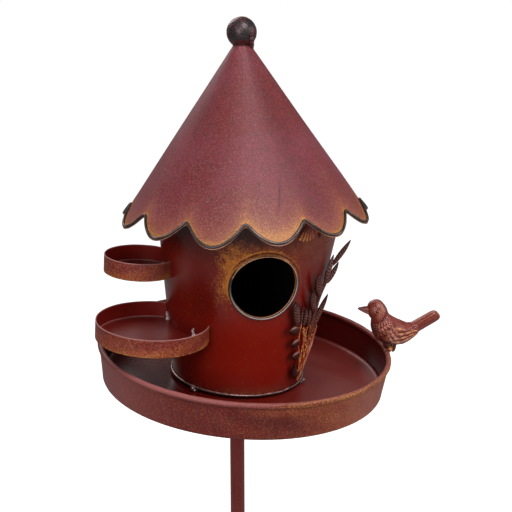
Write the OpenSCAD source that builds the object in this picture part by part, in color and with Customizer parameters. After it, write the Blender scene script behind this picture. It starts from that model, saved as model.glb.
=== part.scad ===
// Garden-stake bird house with a feeding tray: welded and painted sheet iron.
// Millimetres, +Z up. The origin is the centre of the pole's foot, where it meets the ground.
// The entrance faces -Y. Azimuths are degrees from -Y towards +X.

/* [Pole] */
// Height of the tray's underside above the ground
pole_h = 700; // [300:10:1200]
// Outer diameter of the pole tube
pole_d = 13.5; // [9:0.1:20]
// Wall thickness of the pole tube
pole_wall = 1.2; // [0.8:0.1:2]
// Thickness of the pole's closed foot
pole_end = 3; // [2:0.5:8]
// Length of the socket welded under the tray
socket_len = 34; // [20:1:60]

/* [Hand fitting] */
// How far the tray and the house lean off the pole, in degrees
lean = 4.2; // [0:0.1:6]
// Direction of the lean, in degrees from +X
lean_heading = -12.2; // [-90:0.1:90]
// How far the tray sits off the pole's axis, along the lean
tray_shift = 5.6; // [0:0.1:10]
// Tilt of the roof against the house, back against the lean, in degrees
roof_tilt = -5.2; // [-6:0.1:0]
// Shift of the roof against the house, along the lean
roof_shift = -3.7; // [-5:0.1:5]

/* [Sheet] */
// Thickness of the sheet iron
sheet = 1; // [0.8:0.1:1.6]

/* [Tray] */
// Radius of the tray at the middle of its rolled rim
tray_r = 128.8; // [110:0.1:150]
// Radius of the tray at its foot, outside
tray_foot_r = 126; // [105:1:150]
// Height of the rolled rim's middle above the tray's underside
tray_h = 28.9; // [20:0.1:40]
// How far the tray's side runs down past its floor
tray_skirt = 1.4; // [0.1:0.1:4]
// Radius of the rolled rim
bead_r = 2.4; // [1.5:0.1:4]

/* [House] */
// Height of the house wall's lower edge above the tray's underside
wall_foot_z = 3.6; // [2:0.1:8]
// Height of the roof's scallop cusps above the tray's underside
hem_z = 162; // [140:1:180]
// Outer radius of the house wall at the scallop cusps
wall_hem_r = 80.7; // [70:0.1:90]
// Growth of the wall's radius for each millimetre of height
wall_taper = 0.143; // [0.05:0.001:0.2]
// Radius of the wire that rings the foot of the wall
foot_wire_r = 1.2; // [1:0.1:3]

/* [Entrance] */
// Radius of the entrance hole
entrance_r = 26.9; // [16:0.1:30]
// Height of the entrance above the tray's underside
entrance_z = 105; // [90:1:120]
// Radius of the wire round the entrance
entrance_wire_r = 1.2; // [1:0.1:3]

/* [Roof] */
// Outer radius of the roof at the cusps of its scallops
cusp_r = 96.5; // [90:0.5:110]
// Height of the roof's point above the cusps
roof_h = 138.5; // [110:0.5:160]
// Number of scallops round the hem
scallops = 13; // [9:1:16]
// Drop of each scallop below the cusps
scallop_drop = 13.2; // [8:0.1:18]
// Extra drop of the one scallop that is cut deepest
deep_cut = 1.5; // [0:0.1:4]
// Number of that scallop, counted on from the cusp whose azimuth is given below
deep_scallop = 12; // [0:1:15]
// Rounding of the cusps, from 0 where they are sharp
cusp_round = 0.03; // [0:0.01:0.1]
// Azimuth of one cusp, in degrees
cusp_azimuth = -12.7; // [-15:0.1:15]
// Radius of the wire along the hem
hem_wire_r = 1.2; // [1:0.1:2]
// Radius of the ball on the roof's point
ball_r = 12.6; // [8:0.1:16]

/* [Dishes] */
// Distance of the dishes' middles from the house's axis
dish_out = 91.7; // [85:0.1:100]
// Radius of the lower dish
low_dish_r = 47.3; // [40:0.1:52]
// Azimuth of the lower dish
low_dish_az = -65.7; // [-70:0.1:-60]
// Rim height of the lower dish above the tray's underside
low_dish_z = 66.4; // [60:0.1:70]
// Radius of the upper dish
high_dish_r = 30.9; // [26:0.1:34]
// Azimuth of the upper dish
high_dish_az = -88; // [-95:0.1:-80]
// Rim height of the upper dish above the tray's underside
high_dish_z = 112.8; // [108:0.1:118]
// Depth of each dish
dish_depth = 15; // [10:0.5:20]

/* [Bird] */
// Azimuth of the bird on the tray's rim
bird_az = 79; // [60:1:100]

/* [Hidden] */

iron_red = [0.42, 0.13, 0.11];
rose = [0.48, 0.22, 0.22];
dark_iron = [0.24, 0.19, 0.19];
bronze = [0.55, 0.33, 0.16];

nudge = 0.05;                         // clearance that keeps fitted faces apart
pole_r = pole_d / 2;
pole_bore_r = pole_r - pole_wall;
socket_r = pole_r + 2.2;
roof_slope = cusp_r / roof_h;         // growth of the roof's radius for each millimetre down
roof_angle = atan(roof_slope);
roof_thick = sheet / cos(roof_angle); // the sheet measured across, level
wall_angle = atan(wall_taper);
wall_foot_r = wall_r(wall_foot_z);
ring_r = wall_foot_r + foot_wire_r + nudge;
floor_top = sheet;
tab_r = 1.2;                          // radius of the rods that carry the roof
columns = 12;                         // straight facets to a scallop
steps = scallops * columns;

// Outer radius of the house wall at height z above the tray's underside
function wall_r(z) = wall_hem_r - wall_taper * (hem_z - z);
// A point standing off the house wall, from its azimuth, height and stand-off
function on_wall(a, z, off) = [(wall_r(z) + off) * sin(a), -(wall_r(z) + off) * cos(a), z];
// A value between a and b
function mix(a, b, t) = a + (b - a) * t;
// Height of a rounded arch, from its height where it isn't rounded
function arch(s) = pow(s * s + cusp_round, 0.4) - pow(cusp_round, 0.4);
// Drop of the hem below the cusps at facet k
function drop(k) =
    let (deep = floor(k / columns) == deep_scallop)
    (scallop_drop + (deep ? deep_cut : 0)) * arch(sin(180 * (k % columns) / columns)) / arch(1);
// Faces that close a tube of `n` rings with `m` points each, with both ends capped
function tube_faces(n, m) = concat(
    [for (j = [0:n - 2]) for (i = [0:m - 1]) [j * m + i, j * m + (i + 1) % m, (j + 1) * m + (i + 1) % m]],
    [for (j = [0:n - 2]) for (i = [0:m - 1]) [j * m + i, (j + 1) * m + (i + 1) % m, (j + 1) * m + i]],
    [[for (i = [m - 1:-1:0]) i]],
    [[for (i = [0:m - 1]) (n - 1) * m + i]]);
// Faces that close a ring of `n` loops with `m` points each, the last joined to the first
function ring_faces(n, m) = concat(
    [for (j = [0:n - 1]) for (i = [0:m - 1])
        [j * m + i, j * m + (i + 1) % m, ((j + 1) % n) * m + (i + 1) % m]],
    [for (j = [0:n - 1]) for (i = [0:m - 1])
        [j * m + i, ((j + 1) % n) * m + (i + 1) % m, ((j + 1) % n) * m + i]]);

// ---- frames that the pieces are drawn in ----

// The house's frame: the tray's underside on the pole, with the lean
module in_house() {
    translate([0, 0, pole_h])
        rotate([0, 0, lean_heading])
            rotate([0, lean, 0])
                rotate([0, 0, -lean_heading])
                    children();
}

// The tray's frame: the house's, moved off the pole's axis
module in_tray() {
    in_house()
        rotate([0, 0, lean_heading])
            translate([tray_shift, 0, 0])
                rotate([0, 0, -lean_heading])
                    children();
}

// The roof's frame: on the roof's axis, level with the cusps
module in_roof() {
    in_house()
        translate([0, 0, hem_z])
            rotate([0, 0, lean_heading])
                translate([roof_shift, 0, 0])
                    rotate([0, roof_tilt, 0])
                        rotate([0, 0, -lean_heading])
                            children();
}

// Everything above the tray's underside
module above_tray() {
    in_house()
        translate([-50, -50, 0])
            cube([100, 100, 60]);
}

// The solid space inside the house wall's outer face
module wall_core() {
    in_house()
        cylinder(h = hem_z + 30, r1 = wall_r(0), r2 = wall_r(hem_z + 30), $fn = 96);
}

// The solid space under the roof's sheet
module roof_core() {
    in_roof()
        translate([0, 0, -hem_z])
            cylinder(h = roof_h + hem_z, r1 = (roof_h + hem_z) * roof_slope - roof_thick - nudge,
                     r2 = 0, $fn = 96);
}

// ---- pole ----

module pole() {
    color(iron_red)
        difference() {
            cylinder(h = pole_h + 10, r = pole_r, $fn = 48);
            translate([0, 0, pole_end])
                cylinder(h = pole_h + 20, r = pole_bore_r, $fn = 48);
            above_tray();
        }
}

module pole_socket() {
    color(iron_red)
        difference() {
            translate([0, 0, pole_h - socket_len])
                cylinder(h = socket_len + 10, r = socket_r, $fn = 48);
            translate([0, 0, pole_h - socket_len - 1])
                cylinder(h = socket_len + 20, r = pole_r + nudge, $fn = 48);
            above_tray();
        }
}

// ---- tray ----

module tray_floor() {
    color(iron_red)
        in_tray()
            cylinder(h = sheet, r = tray_foot_r - sheet, $fn = 128);
}

module tray_wall() {
    top_r = tray_r + sheet / 2;
    color(iron_red)
        in_tray()
            rotate_extrude($fn = 128)
                polygon([[tray_foot_r - sheet, -tray_skirt], [tray_foot_r, -tray_skirt],
                         [tray_foot_r, 0], [top_r, tray_h - bead_r],
                         [top_r - sheet, tray_h - bead_r], [tray_foot_r - sheet, 0]]);
}

module tray_rim() {
    color(iron_red)
        in_tray()
            translate([0, 0, tray_h])
                rotate_extrude($fn = 128)
                    translate([tray_r, 0])
                        circle(r = bead_r, $fn = 24);
}

// ---- house ----

module house_feet() {
    foot_h = wall_foot_z - floor_top;
    color(iron_red)
        in_house()
            for (a = [-60, 20, 130])
                rotate([0, 0, a])
                    translate([0, 4.5 - wall_foot_r, floor_top])
                        cylinder(h = foot_h, r = 3.5, $fn = 24);
}

module house_floor() {
    color(dark_iron)
        in_house()
            translate([0, 0, wall_foot_z])
                cylinder(h = sheet, r = wall_foot_r - sheet - nudge, $fn = 96);
}

module house_wall() {
    top_z = hem_z + 22;
    color(iron_red)
        difference() {
            intersection() {
                in_house()
                    rotate_extrude($fn = 96)
                        polygon([[wall_foot_r - sheet, wall_foot_z], [wall_foot_r, wall_foot_z],
                                 [wall_r(top_z), top_z], [wall_r(top_z) - sheet, top_z]]);
                roof_core();
            }
            in_house()
                translate([0, -wall_r(entrance_z), entrance_z])
                    rotate([90 + wall_angle, 0, 0])
                        translate([0, 0, -30])
                            cylinder(h = 60, r = entrance_r, $fn = 64);
        }
}

module foot_ring() {
    color(iron_red)
        in_house()
            translate([0, 0, wall_foot_z + foot_wire_r])
                rotate_extrude($fn = 96)
                    translate([ring_r + wall_taper * foot_wire_r, 0])
                        circle(r = foot_wire_r, $fn = 16);
}

module entrance_ring() {
    n = 48;
    m = 8;
    mid = entrance_r + entrance_wire_r;
    // A point of the wire: t goes round the entrance, s round the wire
    function ring_point(t, s) =
        let (reach = mid + entrance_wire_r * cos(s),
             off = entrance_wire_r * (1 + sin(s)) + nudge,
             z = entrance_z + reach * sin(t) * cos(wall_angle),
             r = wall_r(z) + off)
        [reach * cos(t), -sqrt(r * r - pow(reach * cos(t), 2)), z];
    color(bronze)
        in_house()
            polyhedron(points = [for (j = [0:n - 1]) for (i = [0:m - 1])
                                     ring_point(360 * j / n, -360 * i / m)],
                       faces = ring_faces(n, m));
}

// ---- roof ----

module roof_cone() {
    top_z = roof_h - (ball_r + 0.2) * cos(roof_angle);
    // A point of the hem or the top edge; inset goes in from the outer face
    function hem_point(k, inset) =
        let (z = -drop(k), r = (roof_h - z) * roof_slope - inset,
             a = cusp_azimuth + 360 * k / steps)
        [r * sin(a), -r * cos(a), z];
    function top_point(k, inset) =
        let (r = (roof_h - top_z) * roof_slope - inset, a = cusp_azimuth + 360 * k / steps)
        [r * sin(a), -r * cos(a), top_z];
    color(rose)
        in_roof()
            polyhedron(points = [for (k = [0:steps - 1])
                                     each [hem_point(k, roof_thick), hem_point(k, 0),
                                           top_point(k, 0), top_point(k, roof_thick)]],
                       faces = ring_faces(steps, 4));
}

module roof_hem_wire() {
    m = 6;
    // A point of the wire that follows the scalloped edge, s degrees round it
    function wire_point(k, s) =
        let (z = -drop(k) - 0.7 * hem_wire_r,
             r = (roof_h - z) * roof_slope - roof_thick / 2,
             a = cusp_azimuth + 360 * k / steps,
             out = hem_wire_r * cos(s), up = hem_wire_r * sin(s))
        [(r + out) * sin(a), -(r + out) * cos(a), z + up];
    color(dark_iron)
        in_roof()
            polyhedron(points = [for (k = [0:steps - 1]) for (i = [0:m - 1])
                                     wire_point(k, -360 * i / m)],
                       faces = ring_faces(steps, m));
}

// Short rods welded up the wall, which carry the roof
module roof_tabs() {
    foot_z = hem_z - 16.5;
    color(dark_iron)
        for (a = [-86, 34, 154])
            intersection() {
                in_house()
                    rotate([0, 0, a])
                        translate([0, -wall_r(foot_z) - tab_r - nudge, foot_z])
                            rotate([wall_angle, 0, 0])
                                cylinder(h = 50, r = tab_r, $fn = 16);
                roof_core();
            }
}

// Beads of weld on one side of the joint between the ball and the roof
module finial_weld() {
    bead = 2.2;
    contact_r = ball_r * sin(roof_angle);
    contact_z = roof_h - ball_r * cos(roof_angle);
    color(dark_iron)
        in_roof()
            for (a = [58, 70, 82])
                rotate([0, 0, a])
                    translate([0, -contact_r - 0.4 * bead, contact_z])
                        sphere(r = bead, $fn = 20);
}

module finial_ball() {
    color(dark_iron)
        in_roof()
            translate([0, 0, roof_h])
                sphere(r = ball_r, $fn = 48);
}

// ---- dishes ----

// Places what is drawn round a dish's middle, with z = 0 at the dish's underside
module at_dish(azimuth, rim_z) {
    in_house()
        rotate([0, 0, azimuth])
            translate([0, -dish_out, rim_z - dish_depth])
                children();
}

module dish_floor(r, azimuth, rim_z) {
    color(iron_red)
        difference() {
            at_dish(azimuth, rim_z)
                cylinder(h = sheet, r = r - sheet, $fn = 96);
            wall_core();
        }
}

module dish_wall(r, azimuth, rim_z) {
    color(iron_red)
        difference() {
            at_dish(azimuth, rim_z)
                cylinder(h = dish_depth, r = r, $fn = 96);
            at_dish(azimuth, rim_z)
                translate([0, 0, -1])
                    cylinder(h = dish_depth + 2, r = r - sheet, $fn = 96);
            wall_core();
        }
}

module lower_dish_floor() {
    dish_floor(low_dish_r, low_dish_az, low_dish_z);
}

module lower_dish_wall() {
    dish_wall(low_dish_r, low_dish_az, low_dish_z);
}

module lower_dish_welds() {
    z = low_dish_z - dish_depth + sheet + 1.8;
    color(dark_iron)
        in_house()
            for (turn = [-22, 24])
                translate(on_wall(low_dish_az + turn, z, 1.9))
                    sphere(r = 1.9, $fn = 16);
}

module upper_dish_floor() {
    dish_floor(high_dish_r, high_dish_az, high_dish_z);
}

module upper_dish_wall() {
    dish_wall(high_dish_r, high_dish_az, high_dish_z);
}

module upper_dish_weld() {
    z = high_dish_z - dish_depth + sheet + 1.8;
    color(dark_iron)
        in_house()
            translate(on_wall(high_dish_az + 8, z, 1.9))
                sphere(r = 1.9, $fn = 16);
}

// ---- leaf spray on the wall ----

// A bar with a flat oval section along points [azimuth, height, stand-off], `half` wide each
// way, whose face is turned from the wall's by `turn` degrees
module wall_bar(path, half, thick, turn = 0) {
    last = len(path) - 1;
    m = 8;
    function place(p) = on_wall(p[0], p[1], p[2]);
    function bar_point(j, s) =
        let (p = path[j],
             run = place(path[min(j + 1, last)]) - place(path[max(j - 1, 0)]),
             out = [sin(p[0] + turn), -cos(p[0] + turn), 0],
             across = cross(out, run) / norm(run))
        place(p) + half[j] * cos(s) * across + 0.5 * thick * sin(s) * out;
    polyhedron(points = [for (j = [0:last]) for (i = [0:m - 1]) bar_point(j, 360 * i / m)],
               faces = tube_faces(last + 1, m));
}

// A plump leaf along a curve that leaves `base` towards `bend` and ends at `tip`
module leaf(base, bend, tip, width, thick, turn = 0) {
    n = 8;
    function along(t) = (1 - t) * (1 - t) * base + 2 * t * (1 - t) * bend + t * t * tip;
    // Half the width of the leaf at a fraction t from base to tip
    function swell(t) = pow(max(sin(180 * pow(t, 0.85)), 0), 0.65);
    function half_width(t) = 0.5 * width * mix(0.22, 1, swell(t)) * (1 - 0.7 * pow(t, 6));
    wall_bar([for (j = [0:n]) along(j / n)], [for (j = [0:n]) half_width(j / n)], thick, turn);
}

// A straight leaf
module straight_leaf(base, tip, width, thick, turn = 0) {
    leaf(base, (base + tip) / 2, tip, width, thick, turn);
}

// A ridged fan on the wall: rows run from the narrow end to the wide end.
// low and high are [azimuth, height, half width in degrees], and high ends with the rise of
// its left end; crest is the ridges' height.
module ridged_fan(low, high, ridges, crest, thick) {
    n = 7;
    m = 4 * ridges;
    // A point across the fan at u from -1 to 1, in row t
    function fan_point(t, u, off) =
        let (half = mix(low[2], high[2], pow(t, 0.8)))
        on_wall(mix(low[0], high[0], t) + half * u, mix(low[1], high[1], t) - high[3] * u * t, off);
    // The ridged face, with its edges brought down to the wall
    function face_off(u) = nudge + 0.3 + thick * (1 - pow(u, 4)) + crest * abs(sin(90 * ridges * (u + 1)));
    ring = [for (i = [0:m]) 2 * i / m - 1];
    color(bronze)
        in_house()
            polyhedron(points = [for (j = [0:n])
                                     each concat([for (u = ring) fan_point(j / n, u, face_off(u))],
                                                 [for (i = [m:-1:0]) fan_point(j / n, ring[i], nudge)])],
                       faces = tube_faces(n + 1, 2 * (m + 1)));
}

module spray_stems() {
    ridged_fan([47.5, 9, 2.6], [45, 62, 15, 7], 5, 1.4, 2.4);
}

module spray_branch() {
    color(bronze)
        in_house()
            wall_bar([[44, 56, 4.2], [44.4, 70, 4], [45, 82, 3.8], [46.6, 90, 3.8], [49, 96, 3.8],
                      [52, 102, 4], [54.2, 108, 4], [56.4, 116, 4.6]],
                     [2.8, 2.8, 2.7, 2.6, 2.5, 2.4, 1.9, 1.1], 3.4);
}

module spray_leaves_left() {
    color(iron_red)
        in_house() {
            leaf([31, 63, 2.8], [21, 84, 4.6], [22, 92, 3.8], 7.8, 2.6);
            straight_leaf([31.4, 66, 3], [28.8, 86.5, 3.6], 2.6, 1.6);
            straight_leaf([34.6, 66, 3.4], [32.2, 84, 4.6], 5.2, 2.2);
            straight_leaf([40, 64, 3.4], [36, 82.5, 4.2], 5.2, 2.2);
        }
}

module spray_leaves_middle() {
    color(iron_red)
        in_house() {
            leaf([43.8, 76, 4], [34.4, 89, 6], [34.1, 98.7, 5], 8.4, 2.8, -22);
            leaf([45.6, 89, 4], [36.8, 104, 6], [36.7, 113.3, 5], 8.8, 2.8, -25);
        }
}

module spray_leaves_right() {
    color(iron_red)
        in_house() {
            leaf([48, 60, 4], [54.6, 78, 4.4], [52, 91.3, 8], 5.4, 2.2, -35);
            leaf([51, 100, 4], [49, 115, 4.8], [55.2, 125, 3.6], 5.6, 2, -30);
            leaf([54.4, 100, 4.4], [62, 108, 6], [60, 117.5, 8], 5.4, 2.2, -35);
            straight_leaf([56.4, 115, 4.6], [53, 141, 15.6], 5.6, 2.2, -38);
        }
}

// Small curled leaves down the left side of the stems
module spray_buds() {
    color(iron_red)
        in_house() {
            straight_leaf([31, 63.5, 2.8], [20.6, 65.5, 4.4], 8.4, 3);
            straight_leaf([34.5, 50.5, 2.8], [25, 52, 4.2], 8, 3);
            straight_leaf([38, 38, 2.8], [28.2, 39.5, 4], 7.6, 3);
            leaf([44, 21, 2.6], [37, 13, 3], [33, 30.5, 3.6], 7.4, 2.8);
        }
}

module eave_flower() {
    ridged_fan([21.4, 158, 2], [21.4, 143.6, 6.6, -1], 4, 0.8, 1.2);
}

// ---- bird on the rim ----

// The bird's frame: on top of the rim, +X out from the tray, +Z up
module at_bird() {
    in_tray()
        rotate([0, 0, bird_az - 90])
            translate([tray_r, 0, tray_h + bead_r])
                children();
}

// A smooth body through sections [x, z, turn, half height, half width]
module bird_loft(sections) {
    m = 14;
    function loft_point(k, s) =
        let (p = sections[k])
        [p[0] - p[3] * sin(s) * sin(p[2]), p[4] * cos(s), p[1] + p[3] * sin(s) * cos(p[2])];
    polyhedron(points = [for (k = [0:len(sections) - 1]) for (i = [0:m - 1])
                             loft_point(k, -360 * i / m)],
               faces = tube_faces(len(sections), m));
}

module bird_body() {
    color(iron_red)
        at_bird()
            bird_loft([[-21.6, 36, 8, 2.2, 2], [-20.4, 36.8, 3, 5.4, 4.8], [-17.6, 37.2, -5, 8.2, 7.4],
                       [-13.8, 36.8, -18, 9.5, 8.9], [-10.8, 32.8, -41, 9.5, 9], [-9.2, 28.9, -56, 8.9, 9],
                       [-7.1, 25.5, -55, 10.5, 10.2], [-3.3, 21.1, -50, 12.7, 11.6],
                       [1.3, 17.6, -42, 13.5, 12.1], [7.3, 16, -31, 12.1, 11.8],
                       [13.2, 15.9, -15, 10.3, 10.5], [18.2, 18.4, 4, 7.4, 8.1],
                       [22, 20.6, 24, 6, 6.2]]);
}

module bird_beak() {
    color(dark_iron)
        at_bird()
            translate([-20.6, 0, 35.7])
                rotate([0, -95, 0])
                    cylinder(h = 9.5, r1 = 3.6, r2 = 0.8, $fn = 20);
}

module bird_wings() {
    color(bronze)
        at_bird()
            for (side = [-1, 1])
                translate([7, side * 10.7, 17.2])
                    rotate([side * -8, 0, side * -14])
                        bird_loft([[-12, 3.4, -20, 0.8, 0.8], [-9.6, 2.6, -15, 5.4, 1.7],
                                   [-5, 0.8, -8, 7.6, 2.4], [1, -1, 4, 8, 2.4], [7, -1, 16, 6.4, 2.2],
                                   [13, 0.6, 26, 3.9, 1.7], [18.6, 3, 32, 1.2, 0.9]]);
}

module bird_tail() {
    color(iron_red)
        at_bird()
            bird_loft([[19, 18.9, 30, 5.4, 5.4], [24, 22.3, 34, 5.6, 4.7], [30, 26.6, 35, 5.6, 4.1],
                       [36, 30.8, 35, 5.6, 3.7], [39.4, 33.2, 36, 5.5, 3.4], [41.9, 34.8, 37, 4.8, 2.9],
                       [43.5, 35.7, 39, 3.1, 2.1], [44.2, 36.1, 40, 1, 0.9]]);
}

module bird_legs() {
    color(bronze)
        at_bird()
            for (side = [-1, 1])
                translate([6, side * 4.2, -2.6])
                    cylinder(h = 12.6, r1 = 1.6, r2 = 2.1, $fn = 20);
}

module bird_feet() {
    color(bronze)
        at_bird()
            for (side = [-1, 1])
                translate([2.7, side * 4.2, 1.2])
                    sphere(r = 2.4, $fn = 20);
}

pole();
pole_socket();
tray_floor();
tray_wall();
tray_rim();
house_feet();
house_floor();
house_wall();
foot_ring();
entrance_ring();
roof_cone();
roof_hem_wire();
roof_tabs();
finial_weld();
finial_ball();
lower_dish_floor();
lower_dish_wall();
lower_dish_welds();
upper_dish_floor();
upper_dish_wall();
upper_dish_weld();
spray_stems();
spray_branch();
spray_leaves_left();
spray_leaves_middle();
spray_leaves_right();
spray_buds();
eave_flower();
bird_body();
bird_beak();
bird_wings();
bird_tail();
bird_legs();
bird_feet();
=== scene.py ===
"""Looks of the garden-stake bird house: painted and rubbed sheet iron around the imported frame.

Sizes are in millimetres in each piece's own place, and a Place carries them into the row frame
in metres. Azimuths are degrees from -Y, the side that the entrance faces, towards +X.
"""

import logging
import math
from dataclasses import dataclass, field
from enum import Enum
from functools import cached_property
from typing import Any, Callable

import bpy
import numpy as np
from mathutils import Matrix, Vector

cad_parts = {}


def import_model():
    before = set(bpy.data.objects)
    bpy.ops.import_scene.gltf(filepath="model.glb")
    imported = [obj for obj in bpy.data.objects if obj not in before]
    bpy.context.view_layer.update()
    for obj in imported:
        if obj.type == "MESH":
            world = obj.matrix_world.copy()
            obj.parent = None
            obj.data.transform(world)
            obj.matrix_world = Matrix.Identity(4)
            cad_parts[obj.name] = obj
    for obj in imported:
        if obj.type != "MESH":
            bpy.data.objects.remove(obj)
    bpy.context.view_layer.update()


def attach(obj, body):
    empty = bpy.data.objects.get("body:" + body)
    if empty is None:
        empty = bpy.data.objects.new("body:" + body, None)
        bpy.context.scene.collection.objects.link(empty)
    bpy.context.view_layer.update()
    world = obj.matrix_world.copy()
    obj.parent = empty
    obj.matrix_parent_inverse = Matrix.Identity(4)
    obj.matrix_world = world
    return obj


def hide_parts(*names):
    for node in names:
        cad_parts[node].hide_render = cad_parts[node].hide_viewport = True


Array = np.ndarray
Point = tuple[float, float, float]
Colour = tuple[float, float, float]
Sections = tuple[tuple[float, ...], ...]
Material = bpy.types.Material

MM = 0.001
TINY = 1e-9
FULL_TURN = 2.0 * math.pi
GOLDEN_ANGLE = 2.399
RIPPLE_SIZE = 2.083
WHITE = (1.0, 1.0, 1.0, 1.0)
SHARP_ANGLE = math.radians(42.0)

log = logging.getLogger("bird_house")


class Axis(Enum):
    """The three axes that a place can turn about."""

    X = 0
    Y = 1
    Z = 2


class Mark(Enum):
    """Shares from 0 to 1 that a surface carries from point to point for its finish. The grime mark carries painted
    shade as well as soot, the deep mark painted shade as well as dark hollows, and the pale mark painted
    highlights as well as pale rubs.
    """

    WORN = "worn"
    RUST = "rust"
    GRIME = "grime"
    DEEP = "deep"
    PALE = "pale"


WORN, RUST, GRIME, DEEP, PALE = Mark


# ---- shapes worked out as whole arrays ----


def turned(axis: Axis, degrees: float) -> Array:
    """The matrix of a turn about one axis.

    Args:
        axis: The axis turned about.
        degrees: How far, counter-clockwise seen from the axis's tip.

    Returns:
        A 3 by 3 matrix.
    """
    first, second = [(1, 2), (2, 0), (0, 1)][axis.value]
    angle = math.radians(degrees)
    matrix = np.eye(3)
    matrix[first, first] = matrix[second, second] = math.cos(angle)
    matrix[first, second], matrix[second, first] = -math.sin(angle), math.sin(angle)
    return matrix


def smooth(value: Array | float, low: float, high: float) -> Array:
    """A soft step: 0 below low, 1 above high, and 3t^2 - 2t^3 between them."""
    share = np.clip((np.asarray(value, float) - low) / (high - low), 0.0, 1.0)
    return share * share * (3.0 - 2.0 * share)


def fade(value: Array | float, low: float, high: float) -> Array:
    """A soft step down: 1 below low and 0 above high."""
    return 1.0 - smooth(value, low, high)


def hump(value: Array, middle: float, reach: float) -> Array:
    """A bell: e to the minus square of the distance from middle, counted in reaches."""
    return np.exp(-(((value - middle) / reach) ** 2))


def ripple(across: Array, along: Array, seed: float) -> Array:
    """Slow uneven waves from -1 to 1: a sum of four sines whose pitch and phase follow from seed.

    Args:
        across: Positions one way.
        along: Positions the other way.
        seed: Which waves they are.

    Returns:
        The waves at each point.
    """
    total = 0.0
    for k in range(1, 5):
        phase = seed * GOLDEN_ANGLE * k
        total = total + np.sin(across * (0.6 + 0.83 * k) + along * (1.9 / k + 0.37 * k) + phase) / k
    return total / RIPPLE_SIZE


def patchy(across: Array, along: Array, seed: float) -> Array:
    """The same slow waves as shares from 0 to 1."""
    return 0.5 + 0.5 * ripple(across, along, seed)


def circle(count: int) -> Array:
    """A row of even angles, in radians, that go once round."""
    return np.linspace(0.0, FULL_TURN, count, endpoint=False)[None, :]


def azimuths(count: int) -> Array:
    """Even azimuths, in degrees, that go once round."""
    return np.linspace(0.0, 360.0, count, endpoint=False)


def steps(count: int) -> Array:
    """A column of even steps from 0 to 1."""
    return np.linspace(0.0, 1.0, count)[:, None]


def signed(azimuth: Array) -> Array:
    """Degrees brought to between -180 and 180."""
    return (azimuth + 180.0) % 360.0 - 180.0


def xyz(x: Array | float, y: Array | float, z: Array | float) -> Array:
    """Points from their three coordinates, each given as an array that fits or a number."""
    return np.stack(np.broadcast_arrays(x, y, z), axis=-1)


def unit(vectors: Array) -> Array:
    """Vectors brought to length 1."""
    return vectors / np.maximum(np.linalg.norm(vectors, axis=-1, keepdims=True), TINY)


def blended(knots: Array | Sections, count: int) -> Array:
    """Rows along a smooth curve through knots: the Catmull-Rom cubic of the four nearest.

    Args:
        knots: One row of values per knot.
        count: Number of rows wanted, the first and last on the end knots.

    Returns:
        An array of count rows.
    """
    knots = np.asarray(knots, float)
    last = len(knots) - 1
    t = np.linspace(0.0, last, count)
    i = np.minimum(t.astype(int), last - 1)
    f = (t - i)[:, None]
    before, start = knots[np.maximum(i - 1, 0)], knots[i]
    end, after = knots[i + 1], knots[np.minimum(i + 2, last)]
    return 0.5 * (
        2.0 * start
        + (end - before) * f
        + (2.0 * before - 5.0 * start + 4.0 * end - after) * f**2
        + (3.0 * start - before - 3.0 * end + after) * f**3
    )


def normals(grid: Array) -> Array:
    """Unit normals of a grid whose columns close round: the cross product of its two slopes.

    Args:
        grid: Points as rows by columns by 3.

    Returns:
        One normal a point, facing away from the middle of its row.
    """
    sideways = np.roll(grid, -1, axis=1) - np.roll(grid, 1, axis=1)
    across = unit(np.cross(sideways, np.gradient(grid, axis=0)))
    outward = grid - grid.mean(axis=1, keepdims=True)
    return across * np.sign((across * outward).sum())


def raised(grid: Array, height: Array) -> Array:
    """A grid moved out along its normals by a height at each point."""
    return grid + normals(grid) * np.asarray(height)[..., None]


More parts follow.
